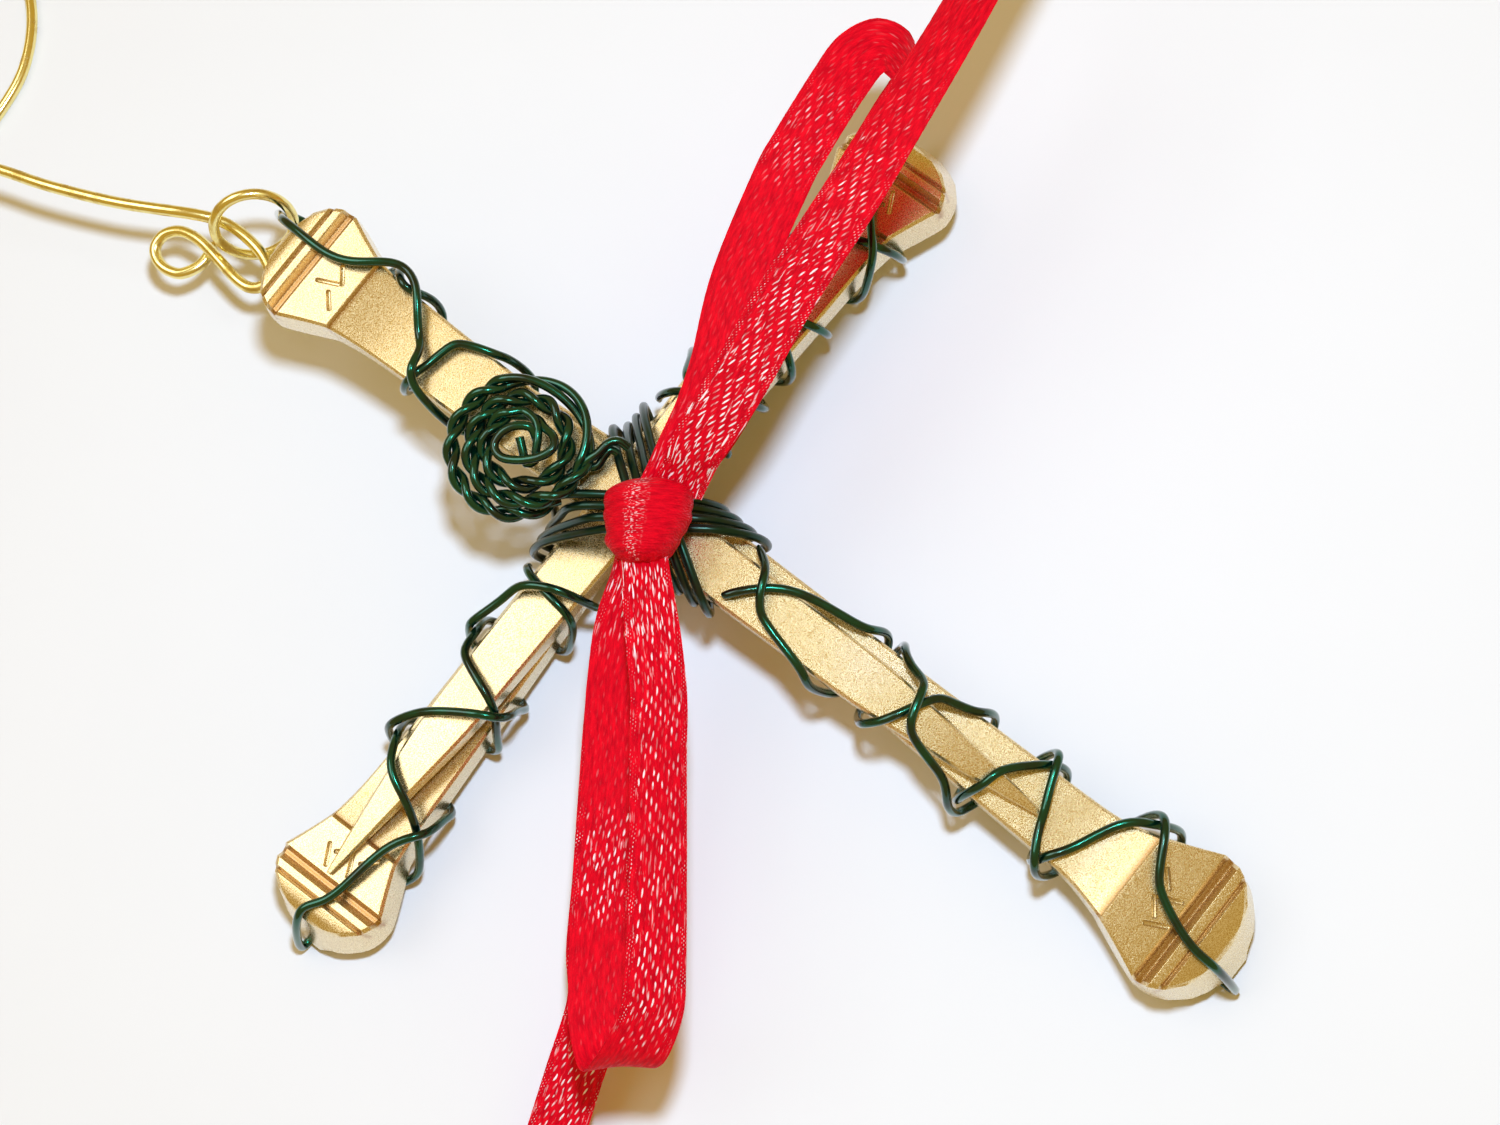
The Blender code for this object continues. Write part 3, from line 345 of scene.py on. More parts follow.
@dataclass(frozen=True)
class RedSatin(Finish):
    """Woven polyester satin ribbon, 3.3 mm wide.

    Bright filament yarns float over four threads and dive under one, so the cloth is a
    clear red with a plain dotted selvedge at both edges; the bump draws the floats. The short
    white lengthwise glints in slanting rows are painted highlights mixed into the colour, and
    where the cloth turns from the light the painted glints are made to die out.
    """

    name: str = "red polyester satin"
    slot: Slot | None = Slot.SATIN
    red: str = "#EE0823"
    shade: str = "#B00019"
    # Colour of the painted glints
    glint: str = "#FFF0F2"
    yarn: float = 0.27
    float_length: float = 0.78
    float_height: float = 0.03
    lean: float = 0.4
    edge_yarn: float = 0.5
    edge_float: float = 0.28
    edge_lean: float = 0.5
    mound_width: float = 0.26
    mound_length: float = 0.4

    def mounds(self, tree: bpy.types.NodeTree, known: dict, yarn: float, long: float, lean: float) -> dict:
        """Draw one rounded mound for each float.

        Args:
            tree: The material's node tree.
            known: Sockets of the place across as "x" and along as "y".
            yarn: Width of a yarn in millimetres.
            long: Length of a float in millimetres.
            lean: Share of a float by which each yarn is shifted on from the last.

        Returns:
            Sockets by name, with the mounds as "top".
        """
        return work_out(tree, dict(known), [
            ("column", "DIVIDE", "x", yarn), ("index", "FLOOR", "column"),
            ("fraction", "FRACT", "column"), ("off", "SUBTRACT", "fraction", 0.5),
            ("rows", "DIVIDE", "y", long), ("step", "MULTIPLY", "index", lean),
            ("row", "ADD", "rows", "step"), ("number", "FLOOR", "row"),
            ("place", "FRACT", "row"), ("end", "SUBTRACT", "place", 0.5),
            ("wide", "DIVIDE", "off", self.mound_width), ("long", "DIVIDE", "end", self.mound_length),
            ("wide squared", "MULTIPLY", "wide", "wide"), ("long squared", "MULTIPLY", "long", "long"),
            ("far", "ADD", "wide squared", "long squared"),
            ("mound", "SUBTRACT", 1.0, "far"), ("top", "MAXIMUM", "mound", 0.0)])

    def weave(self, tree: bpy.types.NodeTree) -> dict:
        """Draw the weave on the cloth's own millimetres.

        Args:
            tree: The material's node tree.

        Returns:
            Sockets by name, with the height as "height" and the painted glints as "bright".
        """
        uv = add_node(tree, "UVMap", {"uv_map": "weave"})
        wobble = add_node(tree, "TexNoise", {"Scale": 0.9, "Detail": 1.0},
                          {"Vector": uv.outputs["UV"]})
        shift = add_node(tree, "VectorMath", {"operation": "SCALE", "Scale": 0.22},
                         {0: wobble.outputs["Color"]})
        moved = add_node(tree, "VectorMath", {"operation": "ADD"},
                         {0: uv.outputs["UV"], 1: shift.outputs[0]})
        split = add_node(tree, "SeparateXYZ", links={0: moved.outputs[0]})
        plain = add_node(tree, "SeparateXYZ", links={0: uv.outputs["UV"]})
        known = {"level": split.outputs["X"], "y": split.outputs["Y"], "side": plain.outputs["X"]}
        for name in ("drift", "shine", "gathered"):
            known[name] = add_node(tree, "Attribute", {"attribute_name": name}).outputs["Fac"]
        # The floats lie a little slanting to the length of the ribbon
        work_out(tree, known, [("x", "SUBTRACT", "level", "drift"), ("reach", "ABSOLUTE", "side")])
        body = self.mounds(tree, known, self.yarn, self.float_length, self.lean)
        edge = self.mounds(tree, known, self.yarn * self.edge_yarn, self.float_length * self.edge_float,
                           self.edge_lean)
        known["body"], known["edge"] = body["top"], edge["top"]
        known["selvedge"] = add_node(tree, "MapRange", {"From Min": 1.12, "From Max": 1.3},
                                     {"Value": known["reach"]}).outputs["Result"]
        # Painted highlight: each float is taken as turned a little differently, so only some of them, in
        # patches, get a painted glint
        which = add_node(tree, "CombineXYZ", links={0: body["index"], 1: body["number"]})
        luck = add_node(tree, "TexWhiteNoise", {"noise_dimensions": "2D"}, {0: which.outputs[0]})
        patch = add_node(tree, "TexNoise", {"Scale": 1.1, "Detail": 2.0}, {"Vector": uv.outputs["UV"]})
        known["luck"] = luck.outputs["Value"]
        known["patch"] = add_node(tree, "MapRange", {"From Min": 0.3, "From Max": 0.56},
                                  {"Value": patch.outputs["Fac"]}).outputs["Result"]
        # Painted highlight: where the cloth is drawn together, and here and there elsewhere, the painted
        # glints run on as long streaks
        for name, stretch in (("streak", (7.0, 0.8, 1.0)), ("tear", (4.0, 1.1, 1.0))):
            drawn = add_node(tree, "Mapping", {"Scale": stretch}, {"Vector": uv.outputs["UV"]})
            known[name] = add_node(tree, "TexNoise", {"Scale": 1.0, "Detail": 1.5},
                                   {"Vector": drawn.outputs["Vector"]}).outputs["Fac"]
        # Single filaments are too fine to show, drawn as lines a tenth of a millimetre apart
        work_out(tree, known, [
            ("open", "SUBTRACT", 1.0, "selvedge"), ("inner", "MULTIPLY", "body", "open"),
            ("rim", "MULTIPLY", "edge", "selvedge"), ("outer", "MULTIPLY", "rim", 0.55),
            ("weave", "ADD", "inner", "outer"),
            ("phase", "MULTIPLY", "x", 2 * math.pi / 0.1), ("lines", "SINE", "phase"),
            ("fine lines", "MULTIPLY", "lines", 0.12), ("face", "ADD", "weave", "fine lines"),
            ("relief", "ADD", "shine", 0.15), ("height", "MULTIPLY", "face", "relief"),
            # Painted highlight: the crests of the floats and the streaks, scaled by the band's shine, make
            # the painted glints, "bright"
            ("crest", "SUBTRACT", "weave", 0.3), ("clear crest", "MULTIPLY", "crest", 2.8),
            ("lit", "MULTIPLY", "clear crest", "luck"), ("lit here", "MULTIPLY", "lit", "patch"),
            ("rest", "SUBTRACT", "tear", 0.4), ("torn", "MULTIPLY", "rest", 5.0),
            ("kept", "MAXIMUM", "torn", 0.0), ("broken", "MULTIPLY", "lit here", "kept"),
            ("above streak", "SUBTRACT", "streak", 0.6),
            ("sharp streak", "MULTIPLY", "above streak", 10.0),
            ("one streak", "MAXIMUM", "sharp streak", 0.0), ("pull", "ADD", "gathered", 0.2),
            ("drawn", "MULTIPLY", "one streak", "pull"),
            ("both", "ADD", "broken", "drawn"), ("turned", "MULTIPLY", "both", "shine"),
            ("scaled", "MULTIPLY", "turned", 1.9), ("above", "MAXIMUM", "scaled", 0.0),
            ("bright", "MINIMUM", "above", 0.96)])
        return known

    def wire_up(self, tree: bpy.types.NodeTree, shader: bpy.types.Node) -> None:
        """Feed the weave and its glints to the shader.

        Args:
            tree: The material's node tree.
            shader: The material's Principled shader.
        """
        known = self.weave(tree)
        uv = add_node(tree, "UVMap", {"uv_map": "weave"})
        # Threads differ a little, so the red has darker lines along them
        drawn = add_node(tree, "Mapping", {"Scale": (4.5, 0.9, 1.0)}, {"Vector": uv.outputs["UV"]})
        hue = add_node(tree, "TexNoise", {"Scale": 1.0, "Detail": 5.0, "Roughness": 0.7},
                       {"Vector": drawn.outputs["Vector"]})
        tone = add_node(tree, "MapRange", {"From Min": 0.35, "From Max": 0.7},
                        {"Value": hue.outputs["Fac"]})
        ground = add_node(tree, "Mix", {"data_type": "RGBA", 6: linear(self.red),
                                                  7: linear(self.shade)}, {0: tone.outputs["Result"]})
        # Painted highlight: the glints are mixed into the red as a near-white colour
        colour = add_node(tree, "Mix", {"data_type": "RGBA", 7: linear(self.glint)},
                          {0: known["bright"], 6: ground.outputs[2]})
        rough = add_node(tree, "MapRange", {"From Min": 0.1, "From Max": 0.6,
                                                      "To Min": 0.6, "To Max": 0.45},
                         {"Value": known["weave"]})
        bump = add_node(tree, "Bump", {"Strength": 1.0, "Distance": self.float_height * MM},
                        {"Height": known["height"]})
        feed(tree, shader, {"IOR": 1.5, "Specular IOR Level": 0.08},
             {"Base Color": colour.outputs[2],
              "Roughness": rough.outputs["Result"],
              "Normal": bump.outputs["Normal"]})


@dataclass(frozen=True)
class KnottedSatin(RedSatin):
    """The same satin wound tight round the knot.

    Drawn tight, the cloth shows fine threads side by side round the knot, with only a
    column or two of pale dots, painted highlights where floats still stand up.
    """

    name: str = "red polyester satin drawn tight"
    thread: float = 0.15
    dots_from: float = 3.2
    dots_to: float = 4.3

    def weave(self, tree: bpy.types.NodeTree) -> dict:
        """Draw the threads and the column of painted glint dots.

        Args:
            tree: The material's node tree.

        Returns:
            Sockets by name, with the height as "height" and the painted glint dots as "bright".
        """
        uv = add_node(tree, "UVMap", {"uv_map": "weave"})
        wobble = add_node(tree, "TexNoise", {"Scale": 1.3, "Detail": 2.0},
                          {"Vector": uv.outputs["UV"]})
        split = add_node(tree, "SeparateXYZ", links={0: uv.outputs["UV"]})
        spread = add_node(tree, "Mapping", {"Scale": (2.2, 1.0, 1.0)},
                          {"Vector": uv.outputs["UV"]})
        speckle = add_node(tree, "TexNoise", {"Scale": 6.0, "Detail": 1.0},
                           {"Vector": spread.outputs["Vector"]})
        known = {"x": split.outputs["X"], "y": split.outputs["Y"], "wobble": wobble.outputs["Fac"],
                 "speckle": speckle.outputs["Fac"]}
        middle = (self.dots_from + self.dots_to) / 2
        half = (self.dots_to - self.dots_from) / 2
        return work_out(tree, known, [
            ("sway", "MULTIPLY", "wobble", 0.5), ("line", "ADD", "x", "sway"),
            ("phase", "MULTIPLY", "line", 2 * math.pi / self.thread), ("wave", "SINE", "phase"),
            ("half wave", "MULTIPLY", "wave", 0.45), ("weave", "ADD", "half wave", 0.3),
            ("height", "ADD", "weave", 0.0), ("turn", "ADD", "y", "sway"),
            # Painted highlight: pale dots in a band round the knot, mixed into the colour through "bright"
            ("from middle", "SUBTRACT", "turn", middle + 0.25), ("away", "ABSOLUTE", "from middle"),
            ("reach", "DIVIDE", "away", half), ("near", "SUBTRACT", 1.0, "reach"),
            ("zone", "MAXIMUM", "near", 0.0), ("dot", "SUBTRACT", "speckle", 0.55),
            ("clear dot", "MULTIPLY", "dot", 6.0), ("lit", "MULTIPLY", "clear dot", "zone"),
            ("above", "MAXIMUM", "lit", 0.0), ("bright", "MINIMUM", "above", 0.6)])


@dataclass(frozen=True)
class WhiteCard(Finish):
    """Smooth white card that the ornament lies on.

    Card gives the eye an even white with the faintest mottle.
    """

    name: str = "white card"
    slot: Slot | None = None

    def wire_up(self, tree: bpy.types.NodeTree, shader: bpy.types.Node) -> None:
        """Feed a faint mottle to the shader.

        Args:
            tree: The material's node tree.
            shader: The material's Principled shader.
        """
        place = add_node(tree, "TexCoord").outputs["Object"]
        mottle = add_node(tree, "TexNoise", {"Scale": 60.0, "Detail": 4.0}, {"Vector": place})
        colour = add_node(tree, "Mix", {"data_type": "RGBA", 6: linear("#E6E6E8"),
                                                  7: linear("#E9E9EB")}, {0: mottle.outputs["Fac"]})
        feed(tree, shader, {"Roughness": 0.75},
             {"Base Color": colour.outputs[2]})


# Working on meshes by hand
def select_only(piece: bpy.types.Object) -> None:
    """Make one object the only selected and the active one."""
    for other in bpy.context.view_layer.objects:
        other.select_set(False)
    piece.select_set(True)
    bpy.context.view_layer.objects.active = piece


def in_edit_mode(piece: bpy.types.Object, work: Callable[[], object]) -> None:
    """Run some mesh operators on the whole of one object in edit mode.

    Args:
        piece: Object to work on.
        work: Function that calls the operators.
    """
    select_only(piece)
    bpy.ops.object.mode_set(mode="EDIT")
    bpy.ops.mesh.select_all(action="SELECT")
    work()
    bpy.ops.object.mode_set(mode="OBJECT")


def apply_modifier(piece: bpy.types.Object, kind: str, **settings: object) -> None:
    """Add a modifier with its settings and apply it.

    Args:
        piece: Object that gets the modifier.
        kind: Type of the modifier.
        settings: Values of the modifier's properties.
    """
    select_only(piece)
    made = piece.modifiers.new(kind.lower(), kind)
    for name, value in settings.items():
        setattr(made, name, value)
    bpy.ops.object.modifier_apply(modifier=made.name)


def smooth_shade(piece: bpy.types.Object, angle: float) -> None:
    """Shade smooth except across edges sharper than the angle in degrees."""
    select_only(piece)
    bpy.ops.object.shade_smooth_by_angle(angle=math.radians(angle))


def put_in_scene(name: str, data: bpy.types.ID) -> bpy.types.Object:
    """Make an object of some data and put it in the scene."""
    made = bpy.data.objects.new(name, data)
    bpy.context.scene.collection.objects.link(made)
    return made


def copy_of_node(node: str, name: str) -> bpy.types.Object:
    """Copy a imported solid's mesh as clean quads, ready for finer work.

    Args:
        node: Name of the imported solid.
        name: Name of the new piece.

    Returns:
        The new piece, which stands in for the solid.
    """
    source = frame["nodes"][node]
    piece = put_in_scene(name, source.data.copy())
    for attribute in list(piece.data.uv_layers):
        piece.data.uv_layers.remove(attribute)

    def clean() -> None:
        """Weld the loose triangles and pair them up again."""
        bpy.ops.mesh.customdata_custom_splitnormals_clear()
        bpy.ops.mesh.remove_doubles(threshold=WELD_DISTANCE)
        bpy.ops.mesh.tris_convert_to_quads(face_threshold=math.radians(PAIR_ANGLE),
                                           shape_threshold=math.radians(PAIR_ANGLE))

    in_edit_mode(piece, clean)
    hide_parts(node)
    return piece


def dress(piece: bpy.types.Object, finish: Finish) -> bpy.types.Object:
    """Give a piece its finish, hang it on the object's one body and report it.

    Args:
        piece: Finished piece.
        finish: Its finish.

    Returns:
        The same piece.
    """
    piece.data.materials.clear()
    piece.data.materials.append(finish.material())
    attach(piece, "root")
    LOG.info("%s: %d faces", piece.name, len(piece.data.polygons))
    if finish.slot in (Slot.ENAMEL, Slot.GOLD):
        wires_in_light().objects.link(piece)
    return piece


def mesh_piece(name: str, points: Iterable[Sequence[float]],
               faces: Iterable[Sequence[int]]) -> bpy.types.Object:
    """Make an object from points and faces.

    Args:
        name: Name of the new piece.
        points: Places in the frame's metres.
        faces: Numbers of the points round each face.

    Returns:
        The new piece.
    """
    mesh = bpy.data.meshes.new(name)
    mesh.from_pydata([tuple(p) for p in points], [], [tuple(f) for f in faces])
    return put_in_scene(name, mesh)


def cloth_tube(name: str, points: Sequence[Vector], ring: int, cloth: Sequence[tuple[float, float]],
               angle: float) -> bpy.types.Object:
    """Close cross-sections into one body with its place on the flat cloth.

    Args:
        name: Name of the new piece.
        points: Places in the frame's metres, one cross-section after the other.
        ring: Number of points in each cross-section.
        cloth: Place of each point on the flat cloth, in millimetres.
        angle: Edges sharper than this many degrees stay sharp.

    Returns:
        The new piece.
    """
    rows = len(points) // ring
    faces = [(r * ring + c, r * ring + (c + 1) % ring, (r + 1) * ring + (c + 1) % ring,
              (r + 1) * ring + c) for r in range(rows - 1) for c in range(ring)]
    faces.append(tuple(range(ring))[::-1])
    faces.append(tuple(range((rows - 1) * ring, rows * ring)))
    piece = mesh_piece(name, points, faces)
    layer = piece.data.uv_layers.new(name="weave")
    for loop in piece.data.loops:
        layer.data[loop.index].uv = cloth[loop.vertex_index]
    in_edit_mode(piece, lambda: bpy.ops.mesh.normals_make_consistent(inside=False))
    smooth_shade(piece, angle)
    return piece


def through(points: Sequence[Sequence[float]] | np.ndarray, step: float) -> np.ndarray:
    """Draw a smooth line through points.

    Args:
        points: Rows whose first three numbers are a place in millimetres.
        step: About how far apart the new rows are.

    Returns:
        The new rows, with the other columns smoothed as well.
    """
    data = np.array(points, dtype=float)
    ends = np.vstack([2 * data[0] - data[1], data, 2 * data[-1] - data[-2]])
    line = []
    for index in range(1, len(ends) - 2):
        a, b, c, d = ends[index - 1:index + 3]
        count = max(2, int(np.linalg.norm((c - b)[:3]) / step))
        for share in np.linspace(0.0, 1.0, count, endpoint=False):
            line.append(0.5 * (2 * b + (c - a) * share + (2 * a - 5 * b + 4 * c - d) * share ** 2
                               + (3 * b - a - 3 * c + d) * share ** 3))
    line.append(ends[-2])
    return np.array(line)


# Camera, light and card
def wires_in_light() -> bpy.types.Collection:
    """The wires that mirror the key lamp fully."""
    found = bpy.data.collections.get("bright wires")
    return found or bpy.data.collections.new("bright wires")


@dataclass
class CardTable:
    """The white card, the soft light over it and the camera."""

    card_side: float = 900.0
    card_drop: float = 0.01
    lens: float = 48.164
    eye: Place = (-9.40350, -35.33225, 115.52669)
    right: Place = (0.61333069, -0.7784589, -0.13351855)
    down: Place = (-0.78385494, -0.5791856, -0.22386486)
    ahead: Place = (0.09693757, 0.24196236, -0.96543116)
    key_at: Place = (13.5, -18.5, 115.0)
    key_size: float = 11.0
    key_power: float = 42.6
    face_glint: float = 0.11
    wire_glint: float = 0.8
    key_colour: str = "#C9E1FD"
    soft_from: Place = (-0.156, 0.400, 0.903)
    soft_distance: float = 450.0
    soft_sides: tuple[float, float] = (292.0, 241.0)
    soft_power: float = 0.67
    soft_fill: float = 0.46
    soft_colour: str = "#EEF4FF"
    room_colour: str = "#C0A052"
    room_strength: float = 1.0

    def set_camera(self) -> None:
        """Stand the camera where the picture is taken from."""
        data = bpy.data.cameras.new("camera")
        data.lens = self.lens
        data.sensor_width = 36.0
        data.clip_start = 0.001
        camera = put_in_scene("camera", data)
        turned = Matrix((self.right, [-v for v in self.down], [-v for v in self.ahead])).transposed()
        camera.matrix_world = Matrix.Translation(table_point(*self.eye)) @ turned.to_4x4()
        bpy.context.scene.camera = camera

    def set_key_lamp(self, name: str, power: float) -> bpy.types.Object:
        """Hold a small bright lamp beside the camera, so that shadows fall just below things.

        Args:
            name: Name of the lamp.
            power: Its power.

        Returns:
            The lamp.
        """
        data = bpy.data.lights.new(name, "POINT")
        data.shadow_soft_size = self.key_size / 2 * MM
        data.energy = power
        data.color = linear(self.key_colour)[:3]
        data.use_nodes = True
        glow = data.node_tree.nodes["Emission"]
        # The lamp is as bright at the edge of the card as in its middle
        even = add_node(data.node_tree, "LightFalloff", {"Strength": 1.0})
        data.node_tree.links.new(even.outputs["Constant"], glow.inputs["Strength"])
        lamp = put_in_scene(name, data)
        lamp.location = table_point(*self.key_at)
        return lamp

    def set_soft_lamp(self, name: str, power: float) -> bpy.types.Object:
        """Hang a large soft lamp over the head of the cross.

        Args:
            name: Name of the lamp.
            power: Its power.

        Returns:
            The lamp.
        """
        data = bpy.data.lights.new(name, "AREA")
        data.shape = "RECTANGLE"
        data.size, data.size_y = (side * MM for side in self.soft_sides)
        data.energy = power
        data.color = linear(self.soft_colour)[:3]
        lamp = put_in_scene(name, data)
        way = Vector(self.soft_from).normalized()
        lamp.location = way * self.soft_distance * MM
        lamp.rotation_euler = way.to_track_quat("Z", "Y").to_euler()
        return lamp

    def set_lamps(self) -> None:
        """Set both lamps, and what the polished faces and the wires mirror of them.

        The key lamp itself stays out of the flat faces, which mirror its faint glint, while
        the wires mirror a strong one. The soft lamp fills the shadows less than it shines.
        """
        self.set_key_lamp("key lamp", self.key_power).visible_glossy = False
        self.set_key_lamp("face glint", self.key_power * self.face_glint).visible_diffuse = False
        wires = self.set_key_lamp("wire glint", self.key_power * self.wire_glint)
        wires.visible_diffuse = False
        wires.light_linking.receiver_collection = wires_in_light()
        fill = self.set_soft_lamp("soft fill", self.soft_power * self.soft_fill)
        fill.visible_glossy = False
        # The fill hangs a little behind the shine, clear of it
        fill.location *= 1.1
        self.set_soft_lamp("soft shine", self.soft_power).visible_diffuse = False

    def set_room(self) -> None:
        """Fill the room with even warm light."""
        world = bpy.data.worlds.new("studio")
        world.use_nodes = True
        background = world.node_tree.nodes["Background"]
        background.inputs["Color"].default_value = linear(self.room_colour)
        background.inputs["Strength"].default_value = self.room_strength
        bpy.context.scene.world = world
        bpy.context.scene.view_settings.view_transform = "Standard"

    def lay_card(self) -> None:
        """Lay the card under the ornament."""
        half = self.card_side / 2 * MM
        low = -self.card_drop * MM
        card = mesh_piece("card", [(-half, -half, low), (half, -half, low), (half, half, low),
                                   (-half, half, low)], [(0, 1, 2, 3)])
        card.data.materials.append(WhiteCard().material())

    def build(self) -> None:
        """Set up everything that isn't the ornament."""
        self.set_camera()
        self.set_lamps()
        self.set_room()
        self.lay_card()


# Ribbon
@dataclass
class RibbonBand:
    """One free band of the ribbon, from the knot out and, in a loop, back again."""

    name: str
    node: str
    stations: tuple[Station, ...]
    cut_length: float
    is_tail: bool
    shine: tuple[tuple[float, float], ...]
    tuck: float = 1.3
    width: float = RIBBON_WIDTH
    thick: float = 0.13
    columns: int = 26
    step: float = 0.22
    crown: float = 0.10
    gather: float = 0.45
    gathers: float = 5.5
    slant: float = 0.3
    opening: float = 0.5
    fold_drift: float = 0.12
    lip: float = 0.012
    lip_waves: float = 9.0

    def line(self) -> np.ndarray:
        """Draw the band's middle line, run on into the knot.

        Returns:
            Rows of place, direction across and open share.
        """
        rows = np.array([[*place, *across, share] for place, across, share in self.stations])
        rows[:, 6] += (1.0 - rows[:, 6]) * self.opening
        ends = [(0, 1)] if self.is_tail else [(0, 1), (-1, -2)]
        for end, inner in ends:
            away = rows[end, :3] - rows[inner, :3]
            hidden = rows[end].copy()
            hidden[:3] += away / np.linalg.norm(away) * self.tuck
            rows = np.insert(rows, 0 if end == 0 else len(rows), hidden, axis=0)
        return through(rows, self.step)

    def frames(self) -> list[tuple[Vector, Vector, Vector, float, float]]:
        """Work out the band's cross-sections.

        Returns:
            Centre, direction across, direction up, open share and distance from the
            start for each cross-section, in millimetres.
        """
        rows = self.line()
        found = []
        distance = 0.0
        for index, row in enumerate(rows):
            before = rows[max(0, index - 1), :3]
            after = rows[min(len(rows) - 1, index + 1), :3]
            along = Vector(after - before).normalized()
            across = Vector(row[3:6])
            across = (across - along * across.dot(along)).normalized()
            if index:
                distance += float(np.linalg.norm(row[:3] - rows[index - 1, :3]))
            found.append((Vector(row[:3]), across, across.cross(along).normalized(), row[6], distance))
        return found

    def section(self, share: float, distance: float) -> list[Place]:
        """One cross-section as side place, height and place on the flat cloth.

        Args:
            share: Share of the width that lies open.
            distance: Distance along the band.

        Returns:
            Points round the section, over the top and back underneath.
        """
        closed = 1.0 - share
        upper, lower = [], []
        for index in range(self.columns + 1):
            flat = -1.0 + 2.0 * index / self.columns
            side = flat * self.width / 2 * share
            bend = self.crown * share * (1.0 - flat * flat)
            wave = flat * math.pi * self.gathers + distance * self.fold_drift
            fold = self.gather * closed * math.cos(wave)
            lip = self.lip * math.sin(distance * self.lip_waves + flat) * abs(flat) ** 6
            half = self.thick / 2 * math.sqrt(max(0.02, 1.0 - abs(flat) ** 10))
            upper.append((side, bend + fold + half + lip, flat * self.width / 2))
            lower.append((side, bend + fold - half + lip, flat * self.width / 2))
        return upper + lower[::-1]

    def build(self) -> bpy.types.Object:
        """Returns:
            The finished band.
        """
        points, cloth, path, lit, drawn, drifts = [], [], [], [], [], []
        drift, last = 0.0, 0.0
        for centre, across, up, share, distance in self.frames():
            drift += self.slant * (distance - last) * up.z
            last = distance
            path.append(table_point(*centre))
            # Painted highlight: how strongly the satin's glints are painted at this distance along the
            # band
            bright = float(np.interp(distance, *zip(*self.shine)))
            for side, high, flat in self.section(share, distance):
                points.append(table_point(*(centre + across * side + up * high)))
                cloth.append((flat, distance))
                lit.append(bright)
                # Where the cloth is gathered, the painted glints run on as streaks
                drawn.append(min(1.0, (1.0 - share) * 5.0))
                drifts.append(drift)
        piece = cloth_tube(self.name, points, 2 * (self.columns + 1), cloth, 50.0)
        for kind, values in (("shine", lit), ("gathered", drawn), ("drift", drifts)):
            piece.data.attributes.new(kind, "FLOAT", "POINT").data.foreach_set("value", values)
        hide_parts(self.node)
        dress(piece, RedSatin(name=f"red polyester satin of {self.name}"))
        return piece


@dataclass
class RibbonKnot:
    """The knot, drawn tight over the binding."""

    centre: tuple[float, float] = (-0.62, -3.71)
    half: Place = (2.3, 2.45, 1.9)
    heading: float = math.degrees(math.atan2(0.6, 0.8))
    rows: int = 72
    columns: int = 110
    shares: tuple[float, ...] = (-1.0, -0.6, -0.2, 0.2, 0.6, 1.0)
    widths: tuple[float, ...] = (0.64, 0.72, 0.86, 0.97, 1.0, 0.92)
    shifts: tuple[float, ...] = (-0.3, -0.2, -0.05, 0.0, 0.05, 0.25)
    squareness: float = 0.8
    fold_height: float = 0.022
    crease_height: float = 0.012
    bump_height: float = 0.14
    cloth_radius: float = 2.2
    closed_at: float = 0.985

    def ring(self, share: float, middle: Vector) -> list[tuple[Vector, tuple[float, float]]]:
        """Points round the knot at one place along the ribbon.

        Args:
            share: Place along the ribbon, -1 to 1.
            middle: Centre of the knot.

        Returns:
            Places in millimetres with their cloth coordinates.
        """
        turn = math.radians(self.heading)
        along = Vector((math.cos(turn), math.sin(turn), 0.0))
        across = Vector((math.sin(turn), -math.cos(turn), 0.0))
        half_long, half_wide, half_high = self.half
        profile = (1.0 - abs(share) ** 5.0) ** (1 / 2.4)
        wide = float(np.interp(share, self.shares, self.widths))
        moved = float(np.interp(share, self.shares, self.shifts))
        found = []
        for column in range(self.columns):
            angle = 2 * math.pi * column / self.columns
            fold = 1.0 + self.fold_height * math.cos(share * math.pi * 3.0 + 0.8 * math.sin(angle))
            fold += self.crease_height * math.sin(share * 21.0 + 2.0 * math.sin(angle * 2.0))
            bump = math.exp(-((share + 0.5) / 0.2) ** 2) * max(0.0, -math.cos(angle)) ** 3
            bump *= self.bump_height
            side = math.copysign(abs(math.cos(angle)) ** self.squareness, math.cos(angle))
            side *= half_wide * wide
            high = math.copysign(abs(math.sin(angle)) ** self.squareness, math.sin(angle)) * half_high
            high = max(high * profile * fold, -half_high)
            place = middle + along * (share * half_long)
            place += across * (moved + side * profile * (fold + bump))
            place.z += high
            found.append((place, (share * half_long, angle * self.cloth_radius)))
        return found

    def build(self) -> bpy.types.Object:
        """Make the knot's mesh with its cloth coordinates.

        Returns:
            The finished knot.
        """
        lo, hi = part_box("ribbon_knot")
        middle = Vector((*self.centre, (lo[2] + hi[2]) / 2 / MM + ORIGIN[2]))
        points, cloth = [], []
        for row in range(self.rows):
            share = math.sin((-1.0 + 2.0 * (row + 0.5) / self.rows) * math.pi / 2) * self.closed_at
            for place, uv in self.ring(share, middle):
                points.append(table_point(*place))
                cloth.append(uv)
        piece = cloth_tube("satin_knot", points, self.columns, cloth, 60.0)
        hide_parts("ribbon_knot")
        return dress(piece, KnottedSatin())


